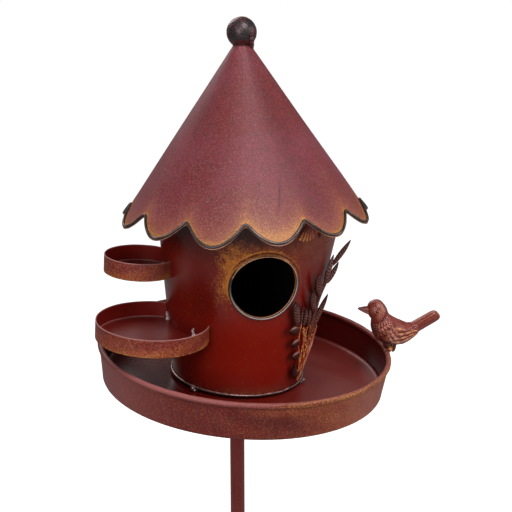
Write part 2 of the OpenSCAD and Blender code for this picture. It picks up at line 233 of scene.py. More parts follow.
@dataclass
class Skin:
    """A surface: its points, its faces and the marks at its points."""

    points: Array
    quads: Array
    tris: Array
    marks: dict[Mark, Array]

    @staticmethod
    def patch(grid: Array, marks: dict[Mark, Array], wrap: tuple[bool, bool] = (False, False)) -> "Skin":
        """An open surface over a grid.

        Args:
            grid: Points as rows by columns by 3.
            marks: Shares at each point, as numbers or arrays that fit the grid.
            wrap: Whether the last row joins the first, and the last column the first.

        Returns:
            The surface, one face to each cell of the grid.
        """
        shape = grid.shape[:2]
        index = np.pad(np.arange(shape[0] * shape[1]).reshape(shape), [(0, int(w)) for w in wrap], mode="wrap")
        quads = np.stack([index[:-1, :-1], index[:-1, 1:], index[1:, 1:], index[1:, :-1]], axis=-1)
        shares = {m: np.broadcast_to(np.asarray(v, float), shape).ravel() for m, v in marks.items()}
        return Skin(grid.reshape(-1, 3), quads.reshape(-1, 4), np.zeros((0, 3), int), shares)

    @staticmethod
    def over(grid: Array, marks: dict[Mark, Array], ring: bool = False) -> "Skin":
        """A closed surface over a grid whose columns close round.

        Args:
            grid: Points as rows by columns by 3.
            marks: Shares at each point, as numbers or arrays that fit the grid.
            ring: Whether the last row joins the first. Otherwise each end gets a cap of
                triangles round its middle point.

        Returns:
            The surface, facing outwards.
        """
        skin = Skin.patch(grid, marks, (ring, True))
        if not ring:
            columns, count = grid.shape[1], len(skin.points)
            skin.points = np.concatenate([skin.points, [grid[0].mean(axis=0), grid[-1].mean(axis=0)]])
            skin.marks = {
                m: np.concatenate([v, [v[:columns].mean(), v[-columns:].mean()]]) for m, v in skin.marks.items()
            }
            here, beside = np.arange(columns), (np.arange(columns) + 1) % columns
            low = np.stack([np.full(columns, count), beside, here], axis=-1)
            last = count - columns
            high = np.stack([np.full(columns, count + 1), last + here, last + beside], axis=-1)
            skin.tris = np.concatenate([low, high])
        return skin.outward()

    @staticmethod
    def joined(skins: "list[Skin]") -> "Skin":
        """Several surfaces as one, each keeping its own points.

        Args:
            skins: The surfaces.

        Returns:
            One surface, with a mark of 0 where a surface had none.
        """
        names = {m for skin in skins for m in skin.marks}
        shift = np.cumsum([0] + [len(skin.points) for skin in skins[:-1]])
        return Skin(
            np.concatenate([skin.points for skin in skins]),
            np.concatenate([skin.quads + s for skin, s in zip(skins, shift)]),
            np.concatenate([skin.tris + s for skin, s in zip(skins, shift)]),
            {m: np.concatenate([s.marks.get(m, np.zeros(len(s.points))) for s in skins]) for m in names},
        )

    def welded(self, grain: float) -> "Skin":
        """The same surface, with points that round to the same multiple of a length made one.

        Args:
            grain: That length.

        Returns:
            The surface with the points shared.
        """
        _, first, owner = np.unique(
            np.round(self.points / grain).astype(np.int64), axis=0, return_index=True, return_inverse=True
        )
        owner = owner.reshape(-1)
        marks = {m: v[first] for m, v in self.marks.items()}
        return Skin(self.points[first], owner[self.quads], owner[self.tris], marks)

    def outward(self) -> "Skin":
        """The same closed surface with its faces turned out, so that the volume inside is positive.

        Returns:
            This surface.
        """
        halves = np.concatenate([self.quads[:, :3], self.quads[:, [0, 2, 3]], self.tris])
        a, b, c = (self.points[halves[:, k]] for k in range(3))
        if (a * np.cross(b, c)).sum() < 0.0:
            self.quads, self.tris = self.quads[:, ::-1], self.tris[:, ::-1]
        return self


@dataclass(frozen=True)
class Place:
    """A place on the feeder: a turn, then a shift in millimetres, into the row frame."""

    turn: Array = field(default_factory=lambda: np.eye(3))
    shift: Array = field(default_factory=lambda: np.zeros(3))

    def moved(self, *shift: float) -> "Place":
        """A place moved along this one's axes."""
        return Place(self.turn, self.shift + self.turn @ np.asarray(shift, float))

    def turned(self, axis: Axis, degrees: float) -> "Place":
        """A place turned about one of this one's axes."""
        return Place(self.turn @ turned(axis, degrees), self.shift)

    def put(self, points: Array) -> Array:
        """Points of this place in the row frame, in metres."""
        return (points @ self.turn.T + self.shift) * MM

    def back(self, other: "Place", points: Array) -> Array:
        """Points of another place seen from this one, in millimetres."""
        return (points @ other.turn.T + other.shift - self.shift) @ self.turn


def around(radius: Array | float, azimuth: Array | float, height: Array | float) -> Array:
    """Points round the +Z axis from their radius, azimuth in degrees and height."""
    angle = np.radians(azimuth)
    return xyz(radius * np.sin(angle), -radius * np.cos(angle), height)


def revolved(
    profile: Array, columns: int, wobble: Callable[[Array, Array], Array] | None = None
) -> tuple[Array, Array]:
    """A profile of radius and height carried round the +Z axis.

    Args:
        profile: Points as radius and height.
        columns: Number of points round the axis.
        wobble: Radius to add, from azimuth in degrees and height.

    Returns:
        The grid of points, one row to a point of the profile, and the azimuths.
    """
    azimuth = np.broadcast_to(azimuths(columns), (len(profile), columns))
    radius, height = profile[:, 0:1], profile[:, 1:2]
    if wobble is not None:
        radius = radius + wobble(azimuth, height)
    return around(radius, azimuth, height), azimuth


def arc(middle: tuple[float, float], radius: float, start: float, end: float, count: int) -> Array:
    """Points on an arc of a profile, from start to end in degrees from the outward direction."""
    angle = np.radians(np.linspace(start, end, count))
    return np.asarray(middle) + radius * np.stack([np.cos(angle), np.sin(angle)], axis=-1)


def tube(path: Array, radius: Array | float, sides: int, closed: bool = False, up: Array | None = None) -> Array:
    """A round section carried along a path, across its slope.

    Args:
        path: Points of the centre line.
        radius: Radius at each point, or one for all.
        sides: Points round the section.
        closed: Whether the path's end joins its start.
        up: The direction from which the section's angle counts, at each point or for all.

    Returns:
        A grid with one row to a point of the path.
    """
    slope = np.roll(path, -1, axis=0) - np.roll(path, 1, axis=0) if closed else np.gradient(path, axis=0)
    side = unit(np.cross(slope, (0.0, 0.0, 1.0) if up is None else up))
    over = np.cross(side, unit(slope))
    angle = circle(sides)[..., None]
    radius = np.broadcast_to(radius, len(path))[:, None, None]
    return path[:, None] + radius * (np.cos(angle) * over[:, None] + np.sin(angle) * side[:, None])


def carried(middle: Array, side: Array, across: Array, depth: Array, out: Array) -> Array:
    """A section carried along a line: at each row the middle, plus side across it and depth outwards."""
    return middle[:, None] + side[..., None] * across[:, None] + depth[..., None] * out[:, None]


def lump(middle: Array | Point, radius: float, seed: float, squash: float = 1.0, rows: int = 18) -> Array:
    """A lumpy bead: a ball whose radius swells and shrinks by a slow ripple.

    Args:
        middle: Its middle.
        radius: Its mean radius.
        seed: Which ripple it has.
        squash: Its height against its width.
        rows: Points from pole to pole; twice as many go round.

    Returns:
        A grid from the lower pole to the upper one.
    """
    polar = np.linspace(0.06, math.pi - 0.06, rows)[:, None]
    turn = circle(2 * rows)
    size = radius * (1.0 + 0.12 * ripple(2.0 * np.cos(turn), 2.0 * np.sin(turn) + 3.0 * polar, seed))
    flat = size * np.sin(polar)
    return np.asarray(middle) + xyz(flat * np.cos(turn), flat * np.sin(turn), -size * squash * np.cos(polar))


# ---- shader nodes ----


class Link:
    """A node's output socket that takes part in Python arithmetic through Math nodes."""

    def __init__(self, mill: "Mill", socket: bpy.types.NodeSocket | None) -> None:
        """Keeps the socket and the builder that it belongs to."""
        self.mill = mill
        self.socket = socket

    def _math(self, operation: str, first: "Link | float", second: "Link | float") -> "Link":
        """The result of a Math node on two values."""
        return self.mill.node("ShaderNodeMath", {"operation": operation}, {0: first, 1: second})

    def __add__(self, other: "Link | float") -> "Link":
        """Sum."""
        return self._math("ADD", self, other)

    __radd__ = __add__

    def __sub__(self, other: "Link | float") -> "Link":
        """Difference."""
        return self._math("SUBTRACT", self, other)

    def __rsub__(self, other: float) -> "Link":
        """Difference from a number."""
        return self._math("SUBTRACT", other, self)

    def __mul__(self, other: "Link | float") -> "Link":
        """Product."""
        return self._math("MULTIPLY", self, other)

    __rmul__ = __mul__

    def __abs__(self) -> "Link":
        """Size without sign."""
        return self._math("ABSOLUTE", self, 0.0)


class Mill:
    """Builds the nodes of one material, or of the surroundings."""

    def __init__(self, owner: Material | bpy.types.World) -> None:
        """Starts with no nodes.

        Args:
            owner: The material or world whose nodes they are.
        """
        self.owner = owner
        owner.use_nodes = True
        self.tree = owner.node_tree
        self.tree.nodes.clear()

    @cached_property
    def where(self) -> Link:
        """The object's own coordinates."""
        return self.node("ShaderNodeTexCoord", out="Object")

    def node(
        self,
        kind: str,
        settings: dict[str, Any] | None = None,
        sockets: dict[Any, Any] | None = None,
        out: Any = 0,
    ) -> Link:
        """Adds a node.

        Args:
            kind: The node's type.
            settings: Its own settings, set first.
            sockets: Values or links of its inputs, by name or number.
            out: The output that is wanted, by name or number.

        Returns:
            The link from that output, or one from nothing where the node has none.
        """
        node = self.tree.nodes.new(kind)
        for key, value in (settings or {}).items():
            setattr(node, key, value)
        for key, value in (sockets or {}).items():
            if isinstance(value, Link):
                self.tree.links.new(value.socket, node.inputs[key])
            else:
                node.inputs[key].default_value = value
        return Link(self, node.outputs[out] if node.outputs else None)

    def mark(self, mark: Mark) -> Link:
        """A mark that the surface carries."""
        return self.node("ShaderNodeAttribute", {"attribute_name": mark.value}, out="Fac")

    def noise(self, scale: float, detail: float) -> Link:
        """Noise about 0.5, from its grains to a metre and its octaves."""
        return self.node("ShaderNodeTexNoise", None, {"Vector": self.where, "Scale": scale, "Detail": detail})

    def step(self, value: Link, low: float, high: float) -> Link:
        """A soft step of a value from 0 at low to 1 at high."""
        settings = {"interpolation_type": "SMOOTHSTEP"}
        return self.node("ShaderNodeMapRange", settings, {"Value": value, "From Min": low, "From Max": high})

    def colours(self, first: "Link | Colour", second: "Link | Colour", share: "Link | float") -> Link:
        """A mix of two colours by a share of the second."""
        start, end = (v if isinstance(v, Link) else (*v, 1.0) for v in (first, second))
        return self.node("ShaderNodeMix", {"data_type": "RGBA"}, {0: share, 6: start, 7: end}, out=2)

    def bump(self, height: Link, depth: float) -> Link:
        """A bumped normal from a height from 0 to 1 that stands for a depth in metres."""
        return self.node("ShaderNodeBump", None, {"Height": height, "Distance": depth, "Strength": 1.0})

    def surface(self, sockets: dict[str, Any]) -> Material:
        """Ends the material in a Principled shader with these sockets.

        Args:
            sockets: Values or links of the shader's inputs.

        Returns:
            The material.
        """
        shader = self.node("ShaderNodeBsdfPrincipled", None, sockets)
        self.node("ShaderNodeOutputMaterial", None, {"Surface": shader})
        return self.owner


# ---- finishes ----


@dataclass(frozen=True)
class RubbedPaint:
    """Old maroon paint over iron: cloudy, finely speckled, and rubbed to gold where it is worn, with soot that
    also serves as painted shade and a pale colour that also serves as painted highlight.
    """

    name: str
    deep: Colour
    bloom: Colour
    dust: Colour = (0.4, 0.15, 0.13)
    rust: Colour = (0.3, 0.07, 0.022)
    gold: Colour = (0.5, 0.205, 0.05)
    soot_and_shade: Colour = (0.05, 0.018, 0.015)
    iron: Colour = (0.022, 0.01, 0.01)
    pale: Colour = (0.52, 0.27, 0.25)
    clouds: float = 16.0
    dusting: float = 0.35
    specks: float = 0.4
    sheen: tuple[float, float] = (0.36, 0.52)
    coat: float = 0.0
    shine: float = 0.4
    tooth: float = 0.00008
    grit: float = 1.0
    fine: float = 820.0
    blot: float = 0.5
    bite: tuple[float, float] = (0.34, 0.92)

    def material(self) -> Material:
        """The finish as a material.

        Broad clouds mix the deep paint with its bloom. Sparse light and dark grains lie on it,
        and the marks bring up soot and painted shade, rust, gold, pale rubs and painted highlights,
        and dark hollows and painted shade through middling and fine noise. Soot is slick.

        Returns:
            The material.
        """
        mill = Mill(bpy.data.materials.new(self.name))
        cloud = mill.step(mill.noise(self.clouds, 4.0), 0.34, 0.66)
        patch = mill.noise(150.0, 4.0) - 0.5
        grain = mill.noise(self.fine, 2.0) - 0.5
        pits = mill.noise(1.4 * self.fine, 2.0) - 0.5
        worn, rust = mill.mark(WORN), mill.mark(RUST)
        grime, deep = mill.mark(GRIME), mill.mark(DEEP)

        colour = mill.colours(self.deep, self.bloom, cloud)
        # Soot colour by the grime mark, which also paints shade.
        soot_and_shade_share = mill.step(grime + self.grit * (0.7 * patch + 0.5 * grain), 0.0, 1.0)
        colour = mill.colours(colour, self.soot_and_shade, soot_and_shade_share)
        rusty = mill.step(rust + self.blot * patch + 0.8 * grain, 0.16, 1.0)
        colour = mill.colours(colour, self.rust, rusty * 0.85)
        dusty = mill.step(grain + 0.25 * patch, -0.03, 0.15)
        open_face = 1.0 - 0.9 * soot_and_shade_share
        colour = mill.colours(colour, self.dust, dusty * open_face * self.dusting)
        rubbed = mill.step(worn + self.blot * patch + 1.9 * grain, *self.bite)
        colour = mill.colours(colour, self.gold, rubbed * 0.9)
        pitted = mill.step(pits + 0.25 * patch, 0.0, 0.13)
        colour = mill.colours(colour, self.iron, pitted * open_face * self.specks)
        # The pale mark paints highlights as well as pale rubs.
        colour = mill.colours(colour, self.pale, mill.mark(PALE))
        # The deep mark darkens hollows and paints shade.
        colour = mill.colours(colour, self.iron, deep * 0.9)

        rough = self.sheen[0] + (self.sheen[1] - self.sheen[0]) * (0.6 * cloud + 0.8 * dusty)
        return mill.surface(
            {
                "Base Color": colour,
                "Roughness": (rough + 0.12 * rubbed) * (1.0 - 0.3 * soot_and_shade_share),
                "Metallic": rubbed * 0.25,
                "Specular IOR Level": self.shine,
                "Coat Weight": self.coat,
                "Coat Roughness": 0.2,
                "Normal": mill.bump(0.5 * grain + 0.5 * patch + 0.15 * rubbed, self.tooth),
            }
        )


@dataclass(frozen=True)
class BareIron:
    """Dark iron with maroon patches left in its hollows and a bright or gold rub on what stands proud."""

    name: str
    iron: Colour = (0.034, 0.026, 0.027)
    paint: Colour = (0.075, 0.012, 0.011)
    bright: Colour = (0.22, 0.17, 0.16)
    gold: Colour = (0.44, 0.2, 0.055)
    painted: float = 0.5
    proud: float = 0.3
    rough: tuple[float, float] = (0.28, 0.45)
    tooth: float = 0.00008
    metal: float = 0.45

    def material(self) -> Material:
        """The finish as a material: noise shares out iron and paint, and marks add the rub and painted highlights.

        Returns:
            The material.
        """
        mill = Mill(bpy.data.materials.new(self.name))
        patch = mill.noise(95.0, 4.0) - 0.5
        grain = mill.noise(800.0, 3.0) - 0.5
        worn, rust = mill.mark(WORN), mill.mark(RUST)
        start = 0.28 - 0.5 * self.painted
        painted = mill.step(patch + 0.4 * grain + 0.5 * rust, start, start + 0.16)
        colour = mill.colours(self.iron, self.paint, painted)
        proud = mill.step(grain + 0.4 * patch, 0.02, 0.2)
        colour = mill.colours(colour, self.bright, proud * self.proud)
        rubbed = mill.step(worn + 0.8 * patch + 0.9 * grain, 0.35, 0.85)
        colour = mill.colours(colour, self.gold, rubbed)
        # The pale mark paints highlights in the bright colour.
        colour = mill.colours(colour, self.bright, mill.mark(PALE))
        rough = self.rough[0] + (self.rough[1] - self.rough[0]) * mill.step(grain, -0.2, 0.2)
        return mill.surface(
            {
                "Base Color": colour,
                "Roughness": rough,
                "Metallic": self.metal * (1.0 - 0.6 * painted),
                "Normal": mill.bump(0.6 * grain + 0.6 * patch, self.tooth),
            }
        )


@dataclass(frozen=True)
class ShadedInside:
    """Painted shade for the unlit inner face of a closed house: dull black with a trace of red."""

    name: str = "painted_shade_inside"

    def material(self) -> Material:
        """The finish as a material: two blacks mixed by noise.

        Returns:
            The material.
        """
        mill = Mill(bpy.data.materials.new(self.name))
        cloud = mill.step(mill.noise(60.0, 3.0), 0.3, 0.7)
        colour = mill.colours((0.004, 0.0025, 0.0025), (0.01, 0.004, 0.004), cloud)
        return mill.surface({"Base Color": colour, "Roughness": 0.75 + 0.15 * cloud, "Specular IOR Level": 0.2})


class Finishes:
    """Every finish of the feeder, each made once."""

    def __init__(self) -> None:
        """Makes the materials."""
        self.wall = RubbedPaint(
            "deep_red_paint", (0.27, 0.008, 0.0028), (0.275, 0.012, 0.005), dust=(0.3, 0.08, 0.05), dusting=0.06,
            gold=(0.62, 0.21, 0.024), rust=(0.3, 0.064, 0.018), soot_and_shade=(0.041, 0.005, 0.0035), specks=0.1,
            sheen=(0.3, 0.38), coat=0.08, shine=0.28, tooth=0.00002, grit=0.15, blot=0.65, bite=(0.26, 1.02),
        ).material()
        self.roof = RubbedPaint(
            "rose_roof_paint", (0.208, 0.027, 0.032), (0.272, 0.056, 0.08), dust=(0.42, 0.15, 0.165), clouds=14.0,
            gold=(0.68, 0.3, 0.07), rust=(0.43, 0.13, 0.062), dusting=0.44, specks=0.62, sheen=(0.48, 0.58),
            shine=0.3, tooth=0.00008, fine=950.0, blot=0.6,
        ).material()
        self.tray_inside = RubbedPaint(
            "tray_paint", (0.155, 0.008, 0.005), (0.19, 0.018, 0.013), dusting=0.03, specks=0.05, coat=0.1,
            soot_and_shade=(0.095, 0.003, 0.002), sheen=(0.28, 0.31), shine=0.28, tooth=0.00001, grit=0.1,
        ).material()
        self.lining = RubbedPaint(
            "inner_side_paint", (0.21, 0.01, 0.006), (0.23, 0.016, 0.012), dusting=0.02, specks=0.04, coat=0.04,
            soot_and_shade=(0.034, 0.0007, 0.0005), sheen=(0.29, 0.31), shine=0.22, tooth=0.00001, grit=0.08,
        ).material()
        self.tray_side = RubbedPaint(
            "tray_side_paint", (0.16, 0.01, 0.008), (0.19, 0.026, 0.021), rust=(0.36, 0.085, 0.026),
            dust=(0.5, 0.17, 0.1), dusting=0.28, specks=0.6, soot_and_shade=(0.028, 0.001, 0.0008), sheen=(0.4, 0.52),
            gold=(0.6, 0.24, 0.06), pale=(0.54, 0.2, 0.195), shine=0.2, tooth=0.0001, blot=0.35,
            bite=(0.3, 1.05),
        ).material()
        self.dish_side = RubbedPaint(
            "dish_side_paint", (0.215, 0.022, 0.015), (0.265, 0.046, 0.034), rust=(0.5, 0.12, 0.03),
            dust=(0.5, 0.2, 0.14), dusting=0.36, specks=0.58, soot_and_shade=(0.06, 0.004, 0.003), sheen=(0.4, 0.52),
            shine=0.22, tooth=0.0001, blot=0.4,
        ).material()
        self.pole = RubbedPaint(
            "pole_paint", (0.18, 0.014, 0.011), (0.2, 0.022, 0.018), dusting=0.08, specks=0.1, sheen=(0.28, 0.38),
            shine=0.3, tooth=0.00005,
        ).material()
        self.leaf = RubbedPaint(
            "leaf_paint", (0.095, 0.015, 0.011), (0.125, 0.025, 0.019), clouds=60.0, dusting=0.12, specks=0.2,
            soot_and_shade=(0.04, 0.015, 0.014), gold=(0.5, 0.15, 0.035), pale=(0.4, 0.19, 0.155), sheen=(0.26, 0.38),
            iron=(0.012, 0.004, 0.004), shine=0.34, tooth=0.00005, grit=0.4,
        ).material()
        self.stem = RubbedPaint(
            "stem_paint", (0.43, 0.019, 0.007), (0.52, 0.04, 0.018), clouds=60.0, dusting=0.1, specks=0.2,
            gold=(0.98, 0.43, 0.09), iron=(0.02, 0.003, 0.002), pale=(0.72, 0.34, 0.28), sheen=(0.22, 0.34),
            shine=0.5, tooth=0.00005,
        ).material()
        self.bird = RubbedPaint(
            "bird_paint", (0.185, 0.018, 0.012), (0.26, 0.048, 0.034), gold=(0.9, 0.38, 0.09), clouds=60.0,
            pale=(0.86, 0.36, 0.25), iron=(0.018, 0.002, 0.002), dusting=0.06, specks=0.1, sheen=(0.2, 0.3),
            coat=0.15, shine=0.45, tooth=0.00004,
        ).material()
        self.hem = BareIron(
            "hem_iron", bright=(0.46, 0.32, 0.29), painted=0.1, proud=0.06, rough=(0.2, 0.32),
        ).material()
        self.foot = BareIron(
            "foot_iron", bright=(0.58, 0.36, 0.34), gold=(0.62, 0.3, 0.25), painted=0.1, proud=0.06,
            rough=(0.18, 0.28),
        ).material()
        self.ring = BareIron(
            "ring_bronze", iron=(0.024, 0.016, 0.014), bright=(0.62, 0.53, 0.5), gold=(0.7, 0.31, 0.13),
            painted=0.2, proud=0.03, rough=(0.2, 0.32), metal=0.25,
        ).material()
        self.tack = BareIron(
            "tack_metal", iron=(0.26, 0.12, 0.11), bright=(1.0, 0.84, 0.82), painted=0.3, proud=0.6,
            rough=(0.2, 0.34), metal=0.05,
        ).material()
        self.ball = BareIron(
            "ball_iron", iron=(0.036, 0.027, 0.029), paint=(0.08, 0.012, 0.01), bright=(0.21, 0.16, 0.17),
            painted=0.6, proud=0.36, rough=(0.28, 0.44), tooth=0.00022,
        ).material()
        self.inside = ShadedInside().material()


# ---- the feeder ----


@dataclass(frozen=True)
class Stance:
    """How the pieces stand on the pole: hand fitting left them leaning a little."""

    pole_h: float = 700.0
    lean: float = 4.2
    heading: float = -12.2
    tray_shift: float = 5.6
    roof_tilt: float = -5.2
    roof_shift: float = -3.7
    hem_z: float = 162.0

    def pole(self) -> Place:
        """On the ground, at the middle of the pole's foot."""
        return Place()

    def house(self) -> Place:
        """On the pole, at the tray's underside, with the lean."""
        foot = Place().moved(0, 0, self.pole_h).turned(Axis.Z, self.heading)
        return foot.turned(Axis.Y, self.lean).turned(Axis.Z, -self.heading)

    def tray(self) -> Place:
        """The house's place moved off the pole's axis along the lean."""
        middle = self.house().turned(Axis.Z, self.heading).moved(self.tray_shift, 0, 0)
        return middle.turned(Axis.Z, -self.heading)

    def roof(self) -> Place:
        """On the roof's axis, level with the cusps."""
        hem = self.house().moved(0, 0, self.hem_z).turned(Axis.Z, self.heading).moved(self.roof_shift, 0, 0)
        return hem.turned(Axis.Y, self.roof_tilt).turned(Axis.Z, -self.heading)


@dataclass
class Shop:
    """What every sub-assembly needs to put its pieces on the feeder."""

    stance: Stance
    finishes: Finishes
    made: int = 0

    def piece(
        self, name: str, skins: list[Skin], place: Place, material: Material, slot: str, node: str
    ) -> bpy.types.Object:
        """Makes one piece and puts it on the body.

        Args:
            name: The piece's name.
            skins: Its surfaces, in the place's millimetres.
            place: Where it is.
            material: Its finish.
            slot: The record's material slot; not used.
            node: The CAD node that it stands for.

        Returns:
            The object, at the origin, with its place in its mesh.
        """
        skin = Skin.joined(skins)
        mesh = bpy.data.meshes.new(name)
        corners = np.concatenate([skin.quads.ravel(), skin.tris.ravel()]).astype(np.int32)
        sizes = np.concatenate([np.full(len(skin.quads), 4), np.full(len(skin.tris), 3)])
        mesh.vertices.add(len(skin.points))
        mesh.vertices.foreach_set("co", place.put(skin.points).astype(np.float32).ravel())
        mesh.loops.add(len(corners))
        mesh.loops.foreach_set("vertex_index", corners)
        mesh.polygons.add(len(sizes))
        mesh.polygons.foreach_set("loop_start", (np.cumsum(sizes) - sizes).astype(np.int32))
        mesh.update(calc_edges=True)
        mesh.validate()
        for mark, values in skin.marks.items():
            attribute = mesh.attributes.new(mark.value, "FLOAT", "POINT")
            attribute.data.foreach_set("value", np.clip(values, 0.0, 1.0).astype(np.float32))
        mesh.shade_smooth()
        mesh.set_sharp_from_angle(angle=SHARP_ANGLE)
        mesh.materials.append(material)
        thing = bpy.data.objects.new(name, mesh)
        bpy.context.scene.collection.objects.link(thing)
        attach(thing, "root")
        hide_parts(node)
        self.made += 1
        log.info("%s: %d faces, for %s", name, len(sizes), node)
        return thing

    @staticmethod
    def lined(thing: bpy.types.Object, lining: Material, inside: Array) -> None:
        """Gives a piece's first faces a second finish wherever inside is true.

        Args:
            thing: The piece.
            lining: The second finish.
            inside: One value for each of those faces.
        """
        thing.data.materials.append(lining)
        values = np.zeros(len(thing.data.polygons), np.int32)
        values[: inside.size] = inside.ravel()
        thing.data.polygons.foreach_set("material_index", values)


@dataclass
class Pole:
    """The round stake and the socket that holds the tray on it."""

    shop: Shop
    radius: float = 6.75
    socket_out: float = 2.2
    socket_len: float = 34.0
    columns: int = 64

    def build(self) -> None:
        """Builds the tube and its socket."""
        self._tube()
        self._socket()

    def _tube(self) -> None:
        """The tube: a straight side with a rounded foot, carried round the axis."""
        top = self.shop.stance.pole_h - 0.6
        side = np.linspace((self.radius, 1.2), (self.radius, top), 60)
        foot = arc((self.radius - 1.0, 1.0), 1.0, -80.0, -10.0, 6)
        grid, azimuth = revolved(np.concatenate([foot, side]), self.columns)
        height = grid[..., 2]
        marks = {
            WORN: 0.55 * fade(height, 0.0, 26.0),
            RUST: 0.25 * fade(height, 0.0, 120.0) + 0.24 * patchy(azimuth / 40.0, height / 90.0, 2.0),
        }
        place, paint = self.shop.stance.pole(), self.shop.finishes.pole
        self.shop.piece("stake_tube", [Skin.over(grid, marks)], place, paint, "pole_paint", "pole")

    def _socket(self) -> None:
        """The socket: a plain collar and an uneven ring of weld under the tray."""
        top = self.shop.stance.pole_h - 0.6
        low, out, bore = top - self.socket_len + 0.6, self.radius + self.socket_out, self.radius + 0.05
        collar = np.array([[bore, low], [out - 0.6, low], [out, low + 0.6], [out, top], [bore, top]])
        grid, _ = revolved(collar, self.columns)
        marks = {WORN: 0.7 * fade(grid[..., 2], low, low + 3.0), RUST: 0.15}
        weld = Skin.over(self._weld(out, top), {WORN: 0.2, RUST: 0.5}, ring=True)
        skins = [Skin.over(grid, marks, ring=True), weld]
        place, paint = self.shop.stance.pole(), self.shop.finishes.pole
        self.shop.piece("pole_collar", skins, place, paint, "pole_paint", "pole_socket")

    def _weld(self, radius: float, top: float) -> Array:
        """A ring whose section swells and shrinks by a ripple, as a run of weld does.

        Args:
            radius: Radius of the collar.
            top: Height of its top.

        Returns:
            The ring's grid.
        """
        azimuth = azimuths(96)
        path = around(radius + 0.2, azimuth, top - 1.9)
        size = 1.5 + 0.28 * np.sin(np.radians(azimuth * 17.0))
        size = size + 0.12 * ripple(azimuth / 20.0, azimuth / 31.0, 5.0)
        return tube(path, size, 12, closed=True)


